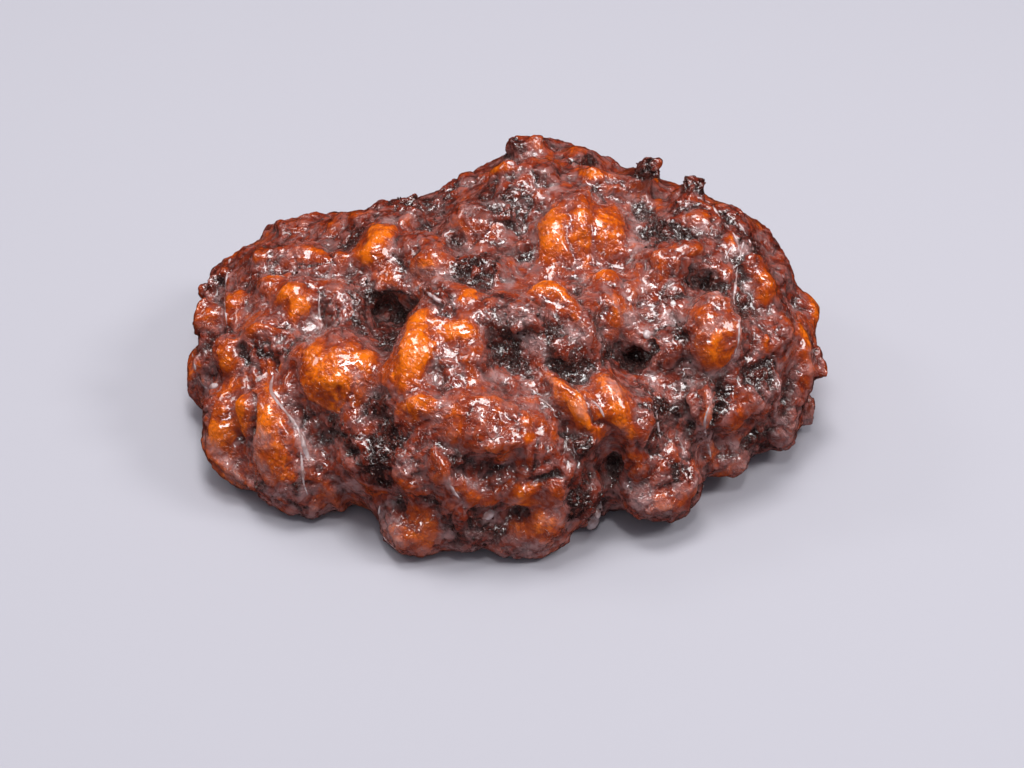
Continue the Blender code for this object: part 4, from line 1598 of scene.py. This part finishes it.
@dataclass
class Glaze:
    """Sugar glaze that has run together: lines along the creases, beads and drips at the foot."""

    sides: int = 3
    parts: int = 6
    step: float = 0.6 * MM
    jump: float = 3.0 * MM
    fewest: int = 4
    line_sunk: float = 0.5
    line_ends: float = 0.35
    line_swell: float = 0.65
    evenness: float = 0.8
    unevenness: float = 0.4
    uneven_size: float = 3 * MM
    bead_sunk: float = 0.2
    bead_flat: float = 0.6

    def build(self, crust: bpy.types.Object) -> bpy.types.Object:
        """Lay the glaze on a crust.

        Args:
            crust: the crust.

        Returns:
            The glaze.
        """
        skin = Skin(crust.data)
        shape = bmesh.new()
        ball = Ball(2)
        for half, pixels in STRANDS:
            strand = self._strand(skin, half * MM, pixels)
            shape.from_mesh(strand)
            bpy.data.meshes.remove(strand)
        for x_px, y_px, wide, high in BEADS:
            place, normal = skin.seen(x_px, y_px)
            middle = place - normal * self.bead_sunk * wide * MM
            sizes = (wide * MM, high * MM, self.bead_flat * wide * MM)
            ball.add(shape, middle, slanted(normal, Vector((1, 0, 0))), sizes)
        bpy.data.meshes.remove(ball.mesh)
        for vertex in shape.verts:
            vertex.co.z = max(vertex.co.z, CLEARANCE)
        glaze = new_object("sugar_glaze", shape)
        glaze.data.shade_smooth()
        return glaze

    def _routes(self, skin: Skin, places: list[Vector]) -> Iterator[list[tuple[Vector, Vector]]]:
        """Join places along the skin, with a break where they jump from a near fold to a far one.

        Args:
            skin: the crust's skin.
            places: places in order, each on the skin.

        Yields:
            Places along the skin and its outward directions there, for each unbroken stretch.
        """
        route = []
        for start, end in zip(places, places[1:]):
            length = (end - start).length
            steps = max(1, math.ceil(length / self.step)) if length < self.jump else 1
            for step in range(steps):
                place, normal, _, _ = skin.tree.find_nearest(start.lerp(end, step / steps))
                route.append((place, normal))
            if length >= self.jump or end is places[-1]:
                if len(route) >= self.fewest:
                    yield route
                route = []

    def _strand(self, skin: Skin, half: float, pixels: tuple) -> bpy.types.Mesh:
        """Run a tapered line of glaze along the crust through some pixels.

        Args:
            skin: the crust's skin.
            half: the line's half width, in metres.
            pixels: the pixels of the photograph that it runs through.

        Returns:
            The line's mesh.
        """
        curve = bpy.data.curves.new("strand", "CURVE")
        curve.dimensions = "3D"
        curve.bevel_depth = half
        curve.bevel_resolution = self.sides
        curve.use_fill_caps = True
        stops = [Vector(pixel) for pixel in (pixels[0], *pixels, pixels[-1])]
        fine = [
            interpolate_smoothly(*stops[start:start + 4], part / self.parts)
            for start in range(len(stops) - 3) for part in range(self.parts)
        ]
        fine.append(stops[-1])
        for route in self._routes(skin, [skin.seen(*pixel)[0] for pixel in fine]):
            self._add_line(curve, half, route)
        obj = bpy.data.objects.new("strand", curve)
        bpy.context.scene.collection.objects.link(obj)
        mesh = bpy.data.meshes.new_from_object(obj.evaluated_get(bpy.context.evaluated_depsgraph_get()))
        bpy.data.objects.remove(obj)
        bpy.data.curves.remove(curve)
        return mesh

    def _add_line(self, curve: bpy.types.Curve, half: float, route: list[tuple[Vector, Vector]]) -> None:
        """Add an uneven line with thin ends to a curve.

        Args:
            curve: the curve.
            half: the line's half width, in metres.
            route: places along the skin and its outward directions there.
        """
        line = curve.splines.new("POLY")
        line.points.add(len(route) - 1)
        for index, (point, (place, normal)) in enumerate(zip(line.points, route)):
            point.co = (*(place - normal * self.line_sunk * half), 1)
            part = index / (len(route) - 1)
            width = self.evenness + self.unevenness * noise.noise(place / self.uneven_size)
            point.radius = self.line_ends + self.line_swell * math.sin(math.pi * part) * width


@dataclass(frozen=True)
class Lamp:
    """A square soft lamp that faces the fritter: where it hangs, its side in metres and its watts."""

    name: str
    place: tuple[float, float, float]
    size: float
    power: float
    glossy: bool = True
    diffuse: bool = True

    def hang(self) -> bpy.types.Object:
        """Hang the lamp.

        Returns:
            The lamp.
        """
        lamp = bpy.data.objects.new(self.name, bpy.data.lights.new(self.name, "AREA"))
        lamp.data.size = self.size
        lamp.data.energy = self.power
        lamp.location = self.place
        aim = Vector((0, 0, FRITTER_MIDDLE)) - lamp.location
        lamp.rotation_euler = aim.to_track_quat("-Z", "Y").to_euler()
        lamp.visible_glossy = self.glossy
        lamp.visible_diffuse = self.diffuse
        bpy.context.scene.collection.objects.link(lamp)
        return lamp


@dataclass
class Studio:
    """A plain pale floor under soft light."""

    floor_size: float = 6.0
    sky: tuple = display_colour(226, 228, 240)
    sky_strength: float = 0.36
    lamps: tuple[Lamp, ...] = (
        Lamp("overhead", (-0.1, 0.05, 0.9), 0.8, 1.8, glossy=False),
        Lamp("glint", (-0.05, 0.12, 0.9), 0.3, 4.5),
        Lamp("spark", (0.08, -0.25, 0.9), 0.13, 1.6),
        Lamp("front_spark", (-0.2, -0.75, 0.42), 0.11, 0.8, diffuse=False),
        Lamp("left_window", (-0.7, 0.2, 0.65), 0.2, 1.0),
        Lamp("right_window", (0.62, -0.1, 0.65), 0.24, 2.6),
    )

    def build(self) -> None:
        """Lay the floor and set the lights."""
        shape = bmesh.new()
        bmesh.ops.create_grid(shape, x_segments=4, y_segments=4, size=self.floor_size / 2)
        floor = new_object("studio_floor", shape)
        floor.data.materials.append(FloorFinish().material())
        floor.visible_glossy = False
        for lamp in self.lamps:
            lamp.hang()
        world = bpy.data.worlds.new("studio")
        world.use_nodes = True
        backdrop = world.node_tree.nodes["Background"]
        backdrop.inputs["Color"].default_value = self.sky
        backdrop.inputs["Strength"].default_value = self.sky_strength
        world.cycles_visibility.glossy = False
        bpy.context.scene.world = world
        bpy.context.scene.view_settings.view_transform = "Standard"


def place_piece(piece: bpy.types.Object, finish: bpy.types.Material) -> None:
    """Give a piece its finish and the body that it moves with.

    Args:
        piece: the piece.
        finish: its material.
    """
    piece.data.materials.clear()
    piece.data.materials.append(finish)
    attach(piece, BODY)
    log.info("%s: %d points", piece.name, len(piece.data.vertices))


def main() -> None:
    """Build the pieces in order."""
    logging.basicConfig(level=logging.INFO, format="%(message)s")
    SIGHTING.make_camera()
    Studio().build()
    crust = Crust().build(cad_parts[NODE])
    place_piece(crust, CrustFinish().material())
    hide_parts(NODE)
    place_piece(Crumbs().build(crust), CRUMB_FINISH.material())
    place_piece(Glaze().build(crust), GLAZE_FINISH.material())


if __name__ == "__main__":
    main()
